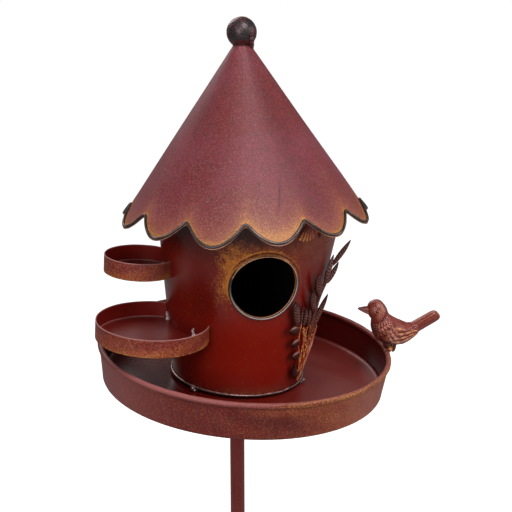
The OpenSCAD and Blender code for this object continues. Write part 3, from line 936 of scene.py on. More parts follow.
@dataclass
class Tray:
    """The round feeding tray: a floor, a flaring side and a rolled rim."""

    shop: Shop
    radius: float = 128.8
    foot: float = 126.0
    height: float = 28.9
    skirt: float = 1.4
    bead: float = 2.4
    sheet: float = 1.0
    columns: int = 360

    def build(self) -> None:
        """Builds the floor, the side and the rim."""
        self._floor()
        self._side()
        self._rim()

    @staticmethod
    def _rubbed_side(azimuth: Array) -> Array:
        """How much more the front right of the tray is rubbed than the rest, from 0 to 1."""
        return fade(np.abs(signed(azimuth - 52.0)), 30.0, 84.0)

    def _floor(self) -> None:
        """The floor: a flat sheet, a little uneven, whose edge curves up into the side, with a painted highlight
        along the corner, painted light on the right front and painted shade beside the house and under the lower
        dish.
        """
        inner, sheet = self.foot - self.sheet, self.sheet
        top = np.linspace((1.0, sheet), (inner - 3.2, sheet), 46)
        turn_up = arc((inner - 3.0, sheet + 2.6), 2.6, -84.0, -6.0, 8)
        under = np.linspace((inner, 0.0), (1.0, 0.0), 20)
        grid, azimuth = revolved(np.concatenate([top, turn_up, under]), self.columns)
        x, y, radius = grid[..., 0], grid[..., 1], np.hypot(grid[..., 0], grid[..., 1])
        row = np.arange(len(grid))[:, None]
        is_top = row < len(top)
        wave = 0.22 * ripple(x / 17.0, y / 17.0, 1.0) * smooth(radius, 4.0, 30.0)
        grid[..., 2] += wave * is_top * fade(radius, inner - 9.0, inner - 4.0)
        # Painted highlight along the upturned corner.
        corner = hump(radius, inner - 2.2, 1.0) * (row < len(top) + len(turn_up))
        turn = signed(azimuth)
        lit = 0.12 * hump(turn, 48.0, 26.0) * smooth(radius, 62.0, 90.0) + 0.03 * smooth(turn, 0.0, 50.0)
        # Painted shade beside the house on the left.
        left = fade(radius, 60.0, 84.0) * smooth(-turn, -20.0, 20.0)
        marks = {
            PALE: 0.42 * corner * (0.6 + 0.4 * ripple(azimuth / 12.0, radius / 30.0, 5.0)) + is_top * lit,
            RUST: 0.04 + 0.06 * ripple(azimuth / 33.0, radius / 21.0, 3.0),
            # Painted shade beside the house and under the lower dish.
            GRIME: 0.04 + 0.3 * left + 0.9 * hump(turn, -72.0, 34.0),
        }
        skins = [Skin.over(grid, marks)]
        for out, turn, size, seed in ((112.0, 44.0, 0.9, 3.0), (116.0, 78.0, 0.8, 4.0)):
            skins.append(Skin.over(lump(around(out, turn, 1.2), size, seed, 0.7, 8), {PALE: 0.5}))
        place, paint = self.shop.stance.tray(), self.shop.finishes.tray_inside
        self.shop.piece("tray_floor_sheet", skins, place, paint, "tray_paint", "tray_floor")

    def _side(self) -> None:
        """The side: a sheet that flares to the rim, carried round the axis, and runs down past the floor."""
        top_z = self.height - self.bead + 0.6
        foot = arc((self.foot - 1.0, 1.0 - self.skirt), 1.0, -90.0, -4.0, 7)
        face_z = np.linspace(1.4 - self.skirt, top_z, 20)
        flare = (self.radius + self.sheet / 2.0 - self.foot) / top_z
        face = np.stack([self.foot + flare * face_z, face_z], axis=-1)
        back_z = np.linspace(top_z, 0.2 - self.skirt, 12)
        back = np.stack([self.foot - self.sheet + flare * np.maximum(back_z, 0.0), back_z], axis=-1)
        grid, azimuth = revolved(
            np.concatenate([foot, face, back]), self.columns,
            lambda a, z: 0.22 * ripple(a / 23.0, z / 19.0, 6.0) * smooth(z, 1.0, 8.0),
        )
        row, turned_in = np.arange(len(grid))[:, None], len(foot) + len(face)
        outside = row < turned_in
        height = grid[..., 2]
        right = self._rubbed_side(azimuth)
        patches = patchy(azimuth / 9.0, height / 7.0, 8.0)
        low_edge, high_edge = hump(height, -self.skirt, 1.8), hump(height, top_z, 1.6)
        turn = signed(azimuth)
        dull = hump(turn, 2.0, 17.0) * fade(height, 17.0, 24.0)
        bright = 1.0 - 0.65 * dull
        streaks = patchy(azimuth / 2.6, height / 9.0, 5.0)
        left = hump(azimuth, 290.0, 22.0)
        marks = {
            WORN: outside * (0.34 * low_edge * (0.4 + right) + (0.1 + 0.34 * patches) * right * bright),
            RUST: outside * (0.04 + 0.22 * patches + (0.52 + 0.2 * streaks) * right * bright + 0.12 * left),
            # Dirt in patches, painted shade under the rim and over the inner face, and darker on the lower front.
            GRIME: outside * (0.24 * (1.0 - patches) * (1.0 - 0.6 * right) + 0.42 * high_edge + 0.34 * dull)
            + (1 - outside) * (0.8 - 0.22 * hump(turn, 132.0, 26.0)),
            # Faint pale streaks, and painted highlights on the left and the right front.
            PALE: outside * (0.03 * smooth(streaks, 0.6, 0.95) + 0.27 * left + 0.3 * hump(turn, 88.0, 20.0)
                                  + 0.2 * hump(turn, 42.0, 14.0)),
            # Painted shade along the bottom edge.
            DEEP: outside * 0.65 * hump(height, -self.skirt, 0.9),
        }
        place, paint = self.shop.stance.tray(), self.shop.finishes.tray_side
        skins = [Skin.over(grid, marks, ring=True)]
        side = self.shop.piece("tray_side_sheet", skins, place, paint, "tray_paint", "tray_wall")
        self.shop.lined(side, self.shop.finishes.lining, np.repeat(row >= turned_in - 1, self.columns, axis=1))

    def _rim(self) -> None:
        """The rolled rim: a round section carried round the tray, with small dents."""
        azimuth = azimuths(self.columns)
        path = around(self.radius + 0.1 * ripple(azimuth / 14.0, azimuth / 9.0, 2.0), azimuth, self.height)
        path[:, 2] += 0.1 * ripple(azimuth / 11.0, azimuth / 17.0, 4.0)
        size = self.bead * (1.0 + 0.035 * ripple(azimuth / 6.0, azimuth / 5.0, 7.0)) - 0.05
        grid, azimuth = tube(path, size, 28, closed=True), azimuth[:, None]
        right = self._rubbed_side(azimuth)
        out, up = np.hypot(grid[..., 0], grid[..., 1]) - self.radius, grid[..., 2] - self.height
        crest = smooth(up, 0.2, 2.2)
        patches, scratched_highlight = patchy(azimuth / 5.0, out, 3.0), patchy(azimuth / 1.7, 2.0 * out, 6.0)
        marks = {
            WORN: right * (0.5 + 0.35 * patches) * smooth(out, -2.0, 0.8) + 0.1 * crest * patches,
            RUST: (0.12 + 0.22 * patches) * smooth(out, -1.8, 0.5),
            # Painted shade under the rim.
            GRIME: 0.35 * fade(up, -2.3, -1.3),
            # Painted highlight along the crest, broken by scratches, and on the left of the rim.
            PALE: (0.34 + 0.22 * right) * crest * scratched_highlight
            + 0.42 * hump(azimuth, 318.0, 38.0) * smooth(up, -1.5, 0.5),
        }
        skins = [Skin.over(grid, marks, ring=True)]
        place, paint = self.shop.stance.tray(), self.shop.finishes.tray_side
        self.shop.piece("tray_rolled_rim", skins, place, paint, "tray_paint", "tray_rim")


@dataclass
class House:
    """The tapered round house: its wall with the entrance, its floor, and the rings round both."""

    shop: Shop
    foot_z: float = 3.6
    hem_z: float = 162.0
    hem_r: float = 80.7
    taper: float = 0.143
    sheet: float = 1.0
    wire: float = 1.0
    hole_r: float = 26.9
    hole_z: float = 105.0
    hole_wire: float = 1.15
    square: float = 34.0
    side_steps: int = 48
    rows_below: int = 30
    feet: tuple[float, ...] = (-50.5, 61.5, 180.0)
    # Painted shadows to the left of the cast leaves: azimuth, height and reach in height.
    leaf_shadows: tuple[tuple[float, float, float], ...] = (
        (22.0, 86.0, 6.0), (22.6, 79.0, 5.0), (25.6, 71.0, 4.0), (37.2, 95.0, 4.5), (38.2, 87.5, 4.5),
        (41.5, 81.0, 4.0), (39.7, 109.0, 5.0), (40.8, 102.0, 5.0), (43.5, 95.0, 4.0), (20.8, 63.0, 3.4),
        (25.5, 49.8, 3.4), (29.0, 37.3, 3.4), (34.6, 22.0, 8.0),
    )

    def wall_r(self, height: Array | float) -> Array:
        """Outer radius of the wall at a height above the tray's underside."""
        return self.hem_r - self.taper * (self.hem_z - np.asarray(height, float))

    def on_wall(self, azimuth: Array, height: Array, off: Array | float) -> Array:
        """Points that stand off the wall, from azimuth, height and stand-off."""
        return around(self.wall_r(height) + off, azimuth, height)

    def build(self) -> None:
        """Builds every piece of the house's body."""
        self._wall()
        self._floor()
        self._feet()
        self._foot_ring()
        self._entrance_ring()

    def _roof_line(self, azimuth: Array, roof: "Roof") -> Array:
        """Heights at which the wall meets the roof's underside, found by halving an interval.

        Args:
            azimuth: Azimuths on the wall.
            roof: The roof.

        Returns:
            Heights above the tray's underside.
        """
        house, cap = self.shop.stance.house(), self.shop.stance.roof()
        low, high = np.full(azimuth.shape, 160.0), np.full(azimuth.shape, 196.0)
        for _ in range(18):
            middle = 0.5 * (low + high)
            point = cap.back(house, self.on_wall(azimuth, middle, 0.0))
            inside = np.hypot(point[..., 0], point[..., 1]) < roof.radius_at(point[..., 2]) - roof.thick - 0.1
            low, high = np.where(inside, middle, low), np.where(inside, high, middle)
        return low

    def _wear_and_light(self, grid: Array) -> dict[Mark, Array]:
        """Where the wall is rubbed: upper left of the entrance, round its ring and at the foot. Also where light
        is painted on it: painted shade under the roof and hem and just outside the ring, painted light on the
        lower front, painted shadows beside the cast leaves, a painted reflection at the left and a painted
        highlight on the entrance's lower edge.

        Args:
            grid: Points on the wall.

        Returns:
            A share at each point for every mark.
        """
        x, y, height = np.moveaxis(grid, -1, 0)
        azimuth = np.degrees(np.arctan2(x, -y))
        reach = np.hypot(x, height - self.hole_z)
        front = smooth(-y, 0.0, 20.0)
        rim = np.exp(-np.maximum(reach - self.hole_r - 2.0, 0.0) / 2.4) * front
        above = smooth(height - self.hole_z - 0.6 * x, -20.0, 22.0)
        patch = hump(azimuth, -22.0, 10.0) * hump(height, 127.0, 15.0)
        patch = patch * (1.0 + 0.3 * ripple(azimuth / 3.0, height / 3.5, 2.0))
        brow = hump(azimuth, -8.0, 22.0) * hump(height, 138.0, 7.0)
        foot = hump(height, self.foot_z + 1.0, 3.5)
        left_low = hump(azimuth, -28.0, 7.0) * hump(height, 100.0, 18.0)
        back = 0.3 * hump(np.abs(azimuth), 150.0, 22.0) * hump(height, 120.0, 26.0)
        right = smooth(azimuth, -8.0, 30.0) * front
        # Painted shade under the roof.
        top = smooth(height, 112.0, 152.0)
        # Painted light on the lower front.
        lit_low_front = hump(azimuth, 12.0, 48.0) * fade(height, 60.0, 112.0)
        olive = hump(height, self.foot_z + 3.0, 8.0) * hump(azimuth, 4.0, 44.0)
        lip = hump(reach, self.hole_r, 0.8) * front
        over = front * smooth(height - self.hole_z + 0.3 * x, -6.0, 16.0)
        # A gold line round the ring, and between it and the wire a band of painted shade.
        halo, ring_shade = (over * hump(reach, self.hole_r + far, 0.7) for far in (4.6, 3.1))
        under = smooth(self.hole_z - height, -12.0, 18.0)
        # A painted reflection at the left edge between the dishes.
        painted_reflection = 0.1 * hump(azimuth, -57.0, 8.0) * hump(height, 110.0, 13.0)
        # Darker on the left front and low on the left.
        left = 0.2 * hump(azimuth, -38.0, 15.0) * hump(height, 84.0, 22.0)
        left = left + 0.18 * hump(azimuth, -54.0, 14.0) * hump(height, 36.0, 26.0)
        # Painted shadows to the left of the cast leaves.
        leaf_shadows = sum(hump(azimuth, a, 2.0) * hump(height, h, z) for a, h, z in self.leaf_shadows)
        return {
            WORN: (0.95 * rim * (0.1 + above) + 0.6 * patch) * (1.0 - ring_shade) + 0.14 * brow + 0.22 * foot
            + 0.36 * left_low + back + 1.2 * lip + 0.5 * halo,
            RUST: (0.6 * patch + 0.5 * brow + 0.5 * rim * above) * (1.0 - 0.8 * ring_shade) + 0.5 * back
            + 0.34 * left_low + 0.6 * right * smooth(height, 92.0, 140.0) + 0.55 * olive,
            # Painted shade under the roof and the hem, lifted where the lower front is lit, over a general
            # darkening.
            GRIME: 0.41 + (0.52 - 0.42 * right) * top + 0.2 * foot - 0.38 * lit_low_front + 0.25 * olive + left
            + 0.25 * hump(height, 154.0, 9.0) * hump(azimuth, -10.0, 26.0),
            # Painted highlight on the entrance's lower edge, and the painted reflection.
            PALE: 0.3 * lip * under + painted_reflection + 0.03 * olive,
            DEEP: 0.85 * np.minimum(leaf_shadows, 1.0) + 0.3 * ring_shade,
        }

    def _wall(self) -> None:
        """The wall: four patches of the tapered tube that meet edge to edge.

        The entrance patch runs from the circle of the hole to a square round it: across it a
        point's distance from the hole's middle goes from one to the other, on the rolled wall.
        Strips close the wall above and below the square, and the last patch goes round the back.
        """
        roof = Roof(self.shop)
        square, lift = self.square, math.cos(math.atan(self.taper))
        side = square * np.tan(np.radians(np.linspace(-45.0, 45.0, self.side_steps + 1)))

        def rolled(across: Array, height: Array) -> Array:
            """A point on the wall from its distance across the front and its height."""
            return xyz(across, -np.sqrt(self.wall_r(height) ** 2 - across**2), height)

        def spread(height: Array) -> Array:
            """Azimuths from one side of the square round the back to the other."""
            start = np.degrees(np.arcsin(square / self.wall_r(height)))
            return start + (360.0 - 2.0 * start) * columns

        flat = np.full(self.side_steps, square)
        across = np.concatenate([side[:-1], flat, -side[:-1], -flat, side[:1]])
        up = np.concatenate([-flat, side[:-1], flat, -side[:-1], -flat[:1]])
        reach = np.hypot(across, up)
        share = steps(15) ** 1.4
        length = self.hole_r + (reach - self.hole_r) * share
        hole = rolled(length * across / reach, self.hole_z + length * up / reach * lift)

        low, high = self.hole_z - square * lift, self.hole_z + square * lift
        below_z, up_steps = np.linspace(self.foot_z, low, self.rows_below)[:, None], steps(10)
        below = rolled(side, below_z)
        top = self._roof_line(np.degrees(np.arcsin(side / self.wall_r(high))), roof)
        above = rolled(side, high + (top - high) * up_steps)

        columns = steps(217).T
        middle_z = self.hole_z + side[:, None] * lift
        rows = np.concatenate([below_z[:-1], middle_z, np.full((len(up_steps) - 1, 1), high)])
        rise = np.concatenate([np.zeros((len(rows) - len(up_steps) + 1, 1)), up_steps[1:]])
        azimuth = spread(rows)
        height = rows + rise * (self._roof_line(azimuth, roof) - high)
        azimuth = np.where((columns == 0.0) | (columns == 1.0), spread(height), azimuth)
        round_back = self.on_wall(azimuth, height, 0.0)
        grids = [hole, below[:, ::-1], above[:, ::-1], round_back[:, ::-1]]
        sheet = Skin.joined([Skin.patch(g, self._wear_and_light(g)) for g in grids]).welded(0.02)

        skins, place, paint = [self._facing_out(sheet)], self.shop.stance.house(), self.shop.finishes.wall
        wall = self.shop.piece("house_wall_sheet", skins, place, paint, "wall_paint", "house_wall")
        # The inner shell of the sheet gets painted shade: dull black.
        wall.data.materials.append(self.shop.finishes.inside)
        thick = wall.modifiers.new("sheet", "SOLIDIFY")
        thick.thickness = self.sheet * MM
        thick.offset = -1.0
        thick.use_even_offset = True
        thick.material_offset = 1

    @staticmethod
    def _facing_out(skin: Skin) -> Skin:
        """The open wall with every face turned away from the axis.

        Args:
            skin: The wall.

        Returns:
            The same wall.
        """
        a, b, c = (skin.points[skin.quads[:, k]] for k in range(3))
        middle = skin.points[skin.quads].mean(axis=1)
        outward = (np.cross(b - a, c - a)[:, :2] * middle[:, :2]).sum(axis=1)
        skin.quads = np.where((outward < 0.0)[:, None], skin.quads[:, ::-1], skin.quads)
        return skin

    def _floor(self) -> None:
        """The house's floor: a disc just inside the foot of the wall, in painted shade."""
        radius = float(self.wall_r(self.foot_z)) - self.sheet - 0.05
        profile = np.array([[2.0, 0.0], [radius, 0.0], [radius, self.sheet], [2.0, self.sheet]])
        grid, _ = revolved(profile, 96)
        skins = [Skin.over(grid, {RUST: 0.2})]
        place, black = self.shop.stance.house().moved(0, 0, self.foot_z), self.shop.finishes.inside
        self.shop.piece("house_floor_disc", skins, place, black, "wall_paint", "house_floor")

    def _feet(self) -> None:
        """The feet: lumps of weld between the foot of the wall and the tray."""
        skins = [
            Skin.over(lump(self.on_wall(a, 2.3, 1.6), 2.9, 1.0 + k, 0.62), {PALE: 0.35, RUST: 0.4})
            for k, a in enumerate(self.feet)
        ]
        place = self.shop.stance.house()
        self.shop.piece("house_weld_feet", skins, place, self.shop.finishes.hem, "wall_paint", "house_feet")

    def _foot_ring(self) -> None:
        """The wire round the wall's foot, pressed on by hand, with a tack of weld at each foot."""
        azimuth = azimuths(288)
        height = self.foot_z + self.wire + 0.12 * ripple(azimuth / 15.0, azimuth / 13.0, 2.0)
        path = self.on_wall(azimuth, height, self.wire + 0.15 + 0.1 * ripple(azimuth / 8.0, azimuth / 21.0, 5.0))
        grid = tube(path, self.wire, 16, closed=True)
        rise = grid[..., 2] - height[:, None]
        lit, under = smooth(rise, 0.0, 0.8), hump(rise, -0.55, 0.22)
        uneven = patchy(azimuth / 9.0, azimuth / 4.0, 1.0)[:, None]
        # Painted highlights on the lit top and low on the underside; the gold on top is partly wear and partly
        # painted highlight.
        marks = {PALE: 0.4 * lit * uneven + 0.45 * under, WORN: 0.58 * lit, RUST: 0.3}
        skins = [Skin.over(grid, marks, ring=True)]
        for foot in self.feet:
            tack = lump(self.on_wall(foot, self.foot_z + 0.6, 3.4), 2.0, 4.0 + foot, 0.9)
            skins.append(Skin.over(tack, {PALE: 0.4, RUST: 0.1}))
        place, iron = self.shop.stance.house(), self.shop.finishes.foot
        self.shop.piece("foot_wire_ring", skins, place, iron, "wall_paint", "foot_ring")

    def _entrance_ring(self) -> None:
        """The wire round the entrance: a round section that follows the rolled wall.

        A point's distance from the hole's middle is the ring's plus the wire's radius times the
        cosine of the angle round the wire, and its stand-off follows the sine.
        """
        turn = circle(144).T
        angle = circle(20)
        uneven = 1.0 + 0.05 * ripple(3.0 * np.cos(turn), 3.0 * np.sin(turn), 2.0)
        wire = self.hole_wire * uneven
        reach = self.hole_r + self.hole_wire - 0.1 + wire * np.cos(angle)
        off = wire * (0.9 + np.sin(angle)) + 0.05
        right, up = np.cos(turn), np.sin(turn)
        height = self.hole_z + reach * up * math.cos(math.atan(self.taper))
        across = reach * right
        grid = xyz(across, -np.sqrt((self.wall_r(height) + off) ** 2 - across**2), height)
        low, high = smooth(-up + 0.3 * right, -0.5, 0.6), smooth(up, -0.1, 0.6)
        outer = hump(angle, 0.12 * math.pi, 0.62) * smooth(up + 0.4 * right, -0.3, 0.5)
        crest = hump(angle, 0.56 * math.pi, 0.46)
        # Gold lines that are partly wear and partly painted highlight, and a painted highlight along the crest,
        # mostly on the lower half.
        marks = {
            WORN: outer + (0.35 * hump(angle, 0.95 * math.pi, 0.5) + 1.05 * crest) * high,
            PALE: crest * (0.06 * high + 0.95 * low * (0.8 + 0.2 * uneven)),
            RUST: 0.3,
        }
        skins = [Skin.over(grid, marks, ring=True)]
        place, bronze = self.shop.stance.house(), self.shop.finishes.ring
        self.shop.piece("entrance_wire_ring", skins, place, bronze, "ring_bronze", "entrance_ring")


@dataclass
class Roof:
    """The cone roof with its scalloped hem, the wire along it, and the ball on its point."""

    shop: Shop
    cusp_r: float = 96.5
    height: float = 138.5
    scallops: int = 13
    drop: float = 13.2
    deep_cut: float = 1.5
    cusp_round: float = 0.03
    deep_scallop: int = 12
    cusp_azimuth: float = -12.7
    sheet: float = 1.0
    wire: float = 1.15
    ball: float = 12.6
    columns_each: int = 56
    lip: float = 1.9
    seam_azimuth: float = 167.3
    tabs: tuple[float, ...] = (-86.0, 34.0, 154.0)

    @property
    def slope(self) -> float:
        """Growth of the roof's radius for each millimetre down."""
        return self.cusp_r / self.height

    @property
    def pitch(self) -> float:
        """Angle between the roof's sheet and its axis."""
        return math.atan(self.slope)

    @property
    def thick(self) -> float:
        """The sheet measured across, level."""
        return self.sheet / math.cos(self.pitch)

    def radius_at(self, height: Array) -> Array:
        """Outer radius at a height above the cusps."""
        return (self.height - height) * self.slope

    def build(self) -> None:
        """Builds the roof's pieces."""
        self._cone()
        self._hem_wire()
        self._tabs()
        self._ball()
        self._weld()

    def _hem(self) -> tuple[Array, Array]:
        """The scalloped edge.

        The drop below the cusps is the sine of the way across a scallop, to the power 0.8, with
        the cusps rounded by adding a little inside the power and taking the same off outside it.
        One scallop is cut deeper than the rest.

        Returns:
            Azimuths round the roof, and the height of the edge at each.
        """
        column = np.arange(self.scallops * self.columns_each)
        azimuth = self.cusp_azimuth + 360.0 * column / len(column)
        deep = column // self.columns_each == self.deep_scallop
        across = np.sin(math.pi * (column % self.columns_each) / self.columns_each)
        ease = self.cusp_round
        arch = ((across**2 + ease) ** 0.4 - ease**0.4) / ((1.0 + ease) ** 0.4 - ease**0.4)
        return azimuth, -(self.drop + self.deep_cut * deep) * arch

    def _rubbed(self, azimuth: Array) -> Array:
        """How far up the sheet is rubbed: most just right of the front, and a middling back.

        Args:
            azimuth: Azimuths round the roof.

        Returns:
            A share at each.
        """
        turn = signed(azimuth)
        front = 0.52 + 0.56 * smooth(turn, -40.0, 2.0) - 0.7 * smooth(turn, 3.0, 22.0)
        front = front + 0.22 * smooth(turn, 24.0, 40.0)
        back = 0.55 + 0.25 * ripple(turn / 25.0, turn / 40.0, 3.0)
        share = smooth(np.abs(turn), 82.0, 120.0)
        return front * (1.0 - share) + back * share

    def _cone(self) -> None:
        """The sheet: straight from the hem to the ball, outside and inside, with a lapped seam behind, and painted
        shade and painted highlights on its outside.
        """
        azimuth, edge = self._hem()
        edge = edge - self.lip
        top = self.height - (self.ball + 0.2) * math.cos(self.pitch)
        up, down = steps(44) ** 1.7, steps(12)[::-1] ** 1.3
        rise = np.concatenate([up, down])
        outside = np.arange(len(rise))[:, None] < len(up)
        height = edge + (top - edge) * rise
        away = (height - edge) / math.cos(self.pitch)
        wave = 0.3 * ripple(azimuth / 26.0, height / 37.0, 4.0) * smooth(away, 6.0, 30.0)
        bend = 0.35 * np.exp(-away / 2.5) + np.where(outside, wave, -self.thick)
        grid = around(self.radius_at(height) + bend, azimuth, height)
        rubbed = self._rubbed(azimuth)
        above = np.maximum(away - 2.7, 0.0)
        flank = signed(azimuth)
        band = np.exp(-above / (1.0 + 2.2 * rubbed + 2.4 * hump(flank, 1.0, 11.0)))
        haze = np.exp(-above / (4.0 + 11.0 * rubbed))
        glow = np.exp(-above / 34.0)
        crown = hump(away, float(away.max()), 2.0)
        # Painted shade right of the front and high on the left.
        painted_shade = 0.36 * hump(flank, 18.0, 18.0) + 0.18 * hump(flank, 34.0, 18.0) * np.exp(-away / 16.0)
        painted_shade = painted_shade + 0.24 * hump(flank, -62.0, 24.0) * smooth(away, 60.0, 110.0)
        brown = 0.16 * hump(flank, 50.0, 26.0) + 0.14 * hump(flank, -62.0, 20.0) * np.exp(-away / 40.0)
        # Painted highlights: a soft one left of the front, one along the hem's edge and one at the crown.
        bloom = hump(flank, -12.0, 32.0) * (0.04 + 0.09 * np.exp(-away / 40.0))
        bloom = bloom + 0.55 * hump(away, 0.0, 0.9) + 0.25 * crown
        scratch = smooth(height, 3.0, 12.0) * (1.0 - 0.8 * smooth(height, 20.0, 38.0)) * (height < 46.0)
        rust = 0.02 + 0.62 * haze + 0.3 * glow * (0.5 + rubbed) + 0.1 * rubbed + brown
        marks = {
            WORN: np.where(outside, 0.9 * band + 0.5 * haze * rubbed + 0.7 * crown, band),
            RUST: np.where(outside, rust, 0.3),
            GRIME: np.where(outside, painted_shade + 0.04, 0.4),
            # The painted highlights, with one more low on the front lobe.
            PALE: outside * (bloom + 0.2 * hump(flank, 1.0, 12.0) * np.exp(-above / 9.0)),
            DEEP: outside * 0.6 * hump(flank, 1.5 + 0.228 * height, 0.55) * scratch,
        }
        place, paint = self.shop.stance.roof(), self.shop.finishes.roof
        skins = [Skin.over(grid, marks, ring=True), self._seam(top)]
        self.shop.piece("roof_sheet", skins, place, paint, "roof_paint", "roof_cone")

    def _seam(self, top: float) -> Skin:
        """The lap at the back, where the rolled sheet overlaps itself: a thin strip down the slope.

        Args:
            top: Height at which the sheet ends.

        Returns:
            The strip.
        """
        height = np.linspace(-self.drop * 0.8, top - 6.0, 40)[:, None]
        cosine, sine = np.cos(circle(24)), np.sin(circle(24))
        wide, proud = 4.6, 0.85
        across = wide * np.sign(cosine) * np.abs(cosine) ** 0.3
        out = proud * np.sign(sine) * np.abs(sine) ** 0.3
        radius = self.radius_at(height)
        azimuth = self.seam_azimuth + np.degrees(across / np.maximum(radius, 12.0))
        grid = around(radius + out / math.cos(self.pitch), azimuth, height)
        edge = np.abs(across / wide) ** 4
        return Skin.over(grid, {WORN: 0.35 * edge, RUST: 0.15, GRIME: 0.3 * edge})

    def _hem_wire(self) -> None:
        """The wire along the hem, laid on the sheet just above its edge, along the sheet's normal."""
        azimuth, edge = self._hem()
        seat = edge - self.lip + 1.75 * math.cos(self.pitch)
        cosine, sine = math.cos(self.pitch), math.sin(self.pitch)
        proud = 0.85 * self.wire
        path = around(self.radius_at(seat) + proud * cosine, azimuth, seat + proud * sine)
        out = around(cosine, azimuth, sine)
        size = self.wire * (1.0 + 0.05 * ripple(azimuth / 4.0, azimuth / 3.0, 2.0))
        grid = tube(path, size, 16, closed=True, up=out)
        angle = circle(16)
        crest, flank = smooth(np.cos(angle), 0.6, 1.0), smooth(np.abs(np.sin(angle)), 0.75, 1.0)
        rubbed = self._rubbed(azimuth)[:, None]
        marks = {
            WORN: 0.45 * flank * (0.4 + 0.6 * rubbed),
            # Painted highlight along the wire's crest.
            PALE: 0.45 * crest * patchy(azimuth / 7.0, azimuth / 3.0, 4.0)[:, None],
            RUST: 0.05 + 0.25 * (1.0 - rubbed),
        }
        place, iron = self.shop.stance.roof(), self.shop.finishes.hem
        skins = [Skin.over(grid, marks, ring=True)]
        self.shop.piece("hem_wire", skins, place, iron, "hem_iron", "roof_hem_wire")

    def _tabs(self) -> None:
        """The short rods welded up the wall, which carry the roof."""
        house, foot = House(self.shop), self.shop.stance.hem_z - 16.5
        height = np.linspace(foot, foot + 24.0, 14)
        size = 1.2 * np.sqrt(smooth(height, foot - 0.9, foot + 1.4))
        skins = []
        for azimuth in self.tabs:
            rod = tube(house.on_wall(azimuth, height, 1.25), size, 12, up=around(1.0, azimuth, 0.0))
            skins.append(Skin.over(rod, {WORN: 0.1, RUST: 0.5}))
        place, iron = self.shop.stance.house(), self.shop.finishes.hem
        self.shop.piece("roof_tab_rods", skins, place, iron, "hem_iron", "roof_tabs")

    def _ball(self) -> None:
        """The ball: a sphere whose surface is lumpy from rust and old paint."""
        polar = np.linspace(0.03, math.pi - 0.03, 72)[:, None]
        turn = circle(144)
        x, y, height = np.sin(polar) * np.cos(turn), np.sin(polar) * np.sin(turn), -np.cos(polar)
        rough = ripple(9.0 * x + 4.0 * height, 9.0 * y, 3.0)
        fine = ripple(24.0 * x, 24.0 * y + 22.0 * height, 5.0)
        size = self.ball - 0.2 + 0.12 * rough + 0.07 * fine
        grid = xyz(size * x, size * y, size * height)
        # Painted highlight on the front of the ball.
        front = hump(np.degrees(np.arctan2(x, -y)), -4.0, 30.0) * hump(height, 0.28, 0.42)
        marks = {
            WORN: 0.3 * smooth(height, 0.86, 0.98),
            RUST: 0.9 * fade(height, -0.72, -0.3) + 0.5 * smooth(height, 0.7, 0.95),
            PALE: 0.21 * front * (1.0 + fine),
        }
        place, iron = self.shop.stance.roof().moved(0, 0, self.height), self.shop.finishes.ball
        self.shop.piece("ball_finial", [Skin.over(grid, marks)], place, iron, "ball_iron", "finial_ball")

    def _weld(self) -> None:
        """The weld at one side of the ball: overlapping lumps."""
        radius = self.ball * math.sin(self.pitch)
        low = self.height - self.ball * math.cos(self.pitch)
        spots = [(25.0, 5.0, 8.3, 1.5), (31.0, 4.3, 5.6, 1.9), (39.0, 3.0, 2.8, 2.1), (47.0, 1.9, 0.4, 2.2)]
        spots += [(54.0, 1.5, -1.7, 1.7)] + [(a, -0.55, 0.15, 1.0) for a in range(60, 380, 8)]
        skins = []
        for k, (azimuth, out, up, size) in enumerate(spots):
            bead = lump(around(radius + out, azimuth, low + up), size, 2.0 * k, 1.1)
            # The second bead carries a painted highlight.
            skins.append(Skin.over(bead, {PALE: 0.25 * (k == 1), RUST: 0.8}))
        place, iron = self.shop.stance.roof(), self.shop.finishes.ball
        self.shop.piece("ball_weld_beads", skins, place, iron, "ball_iron", "finial_weld")


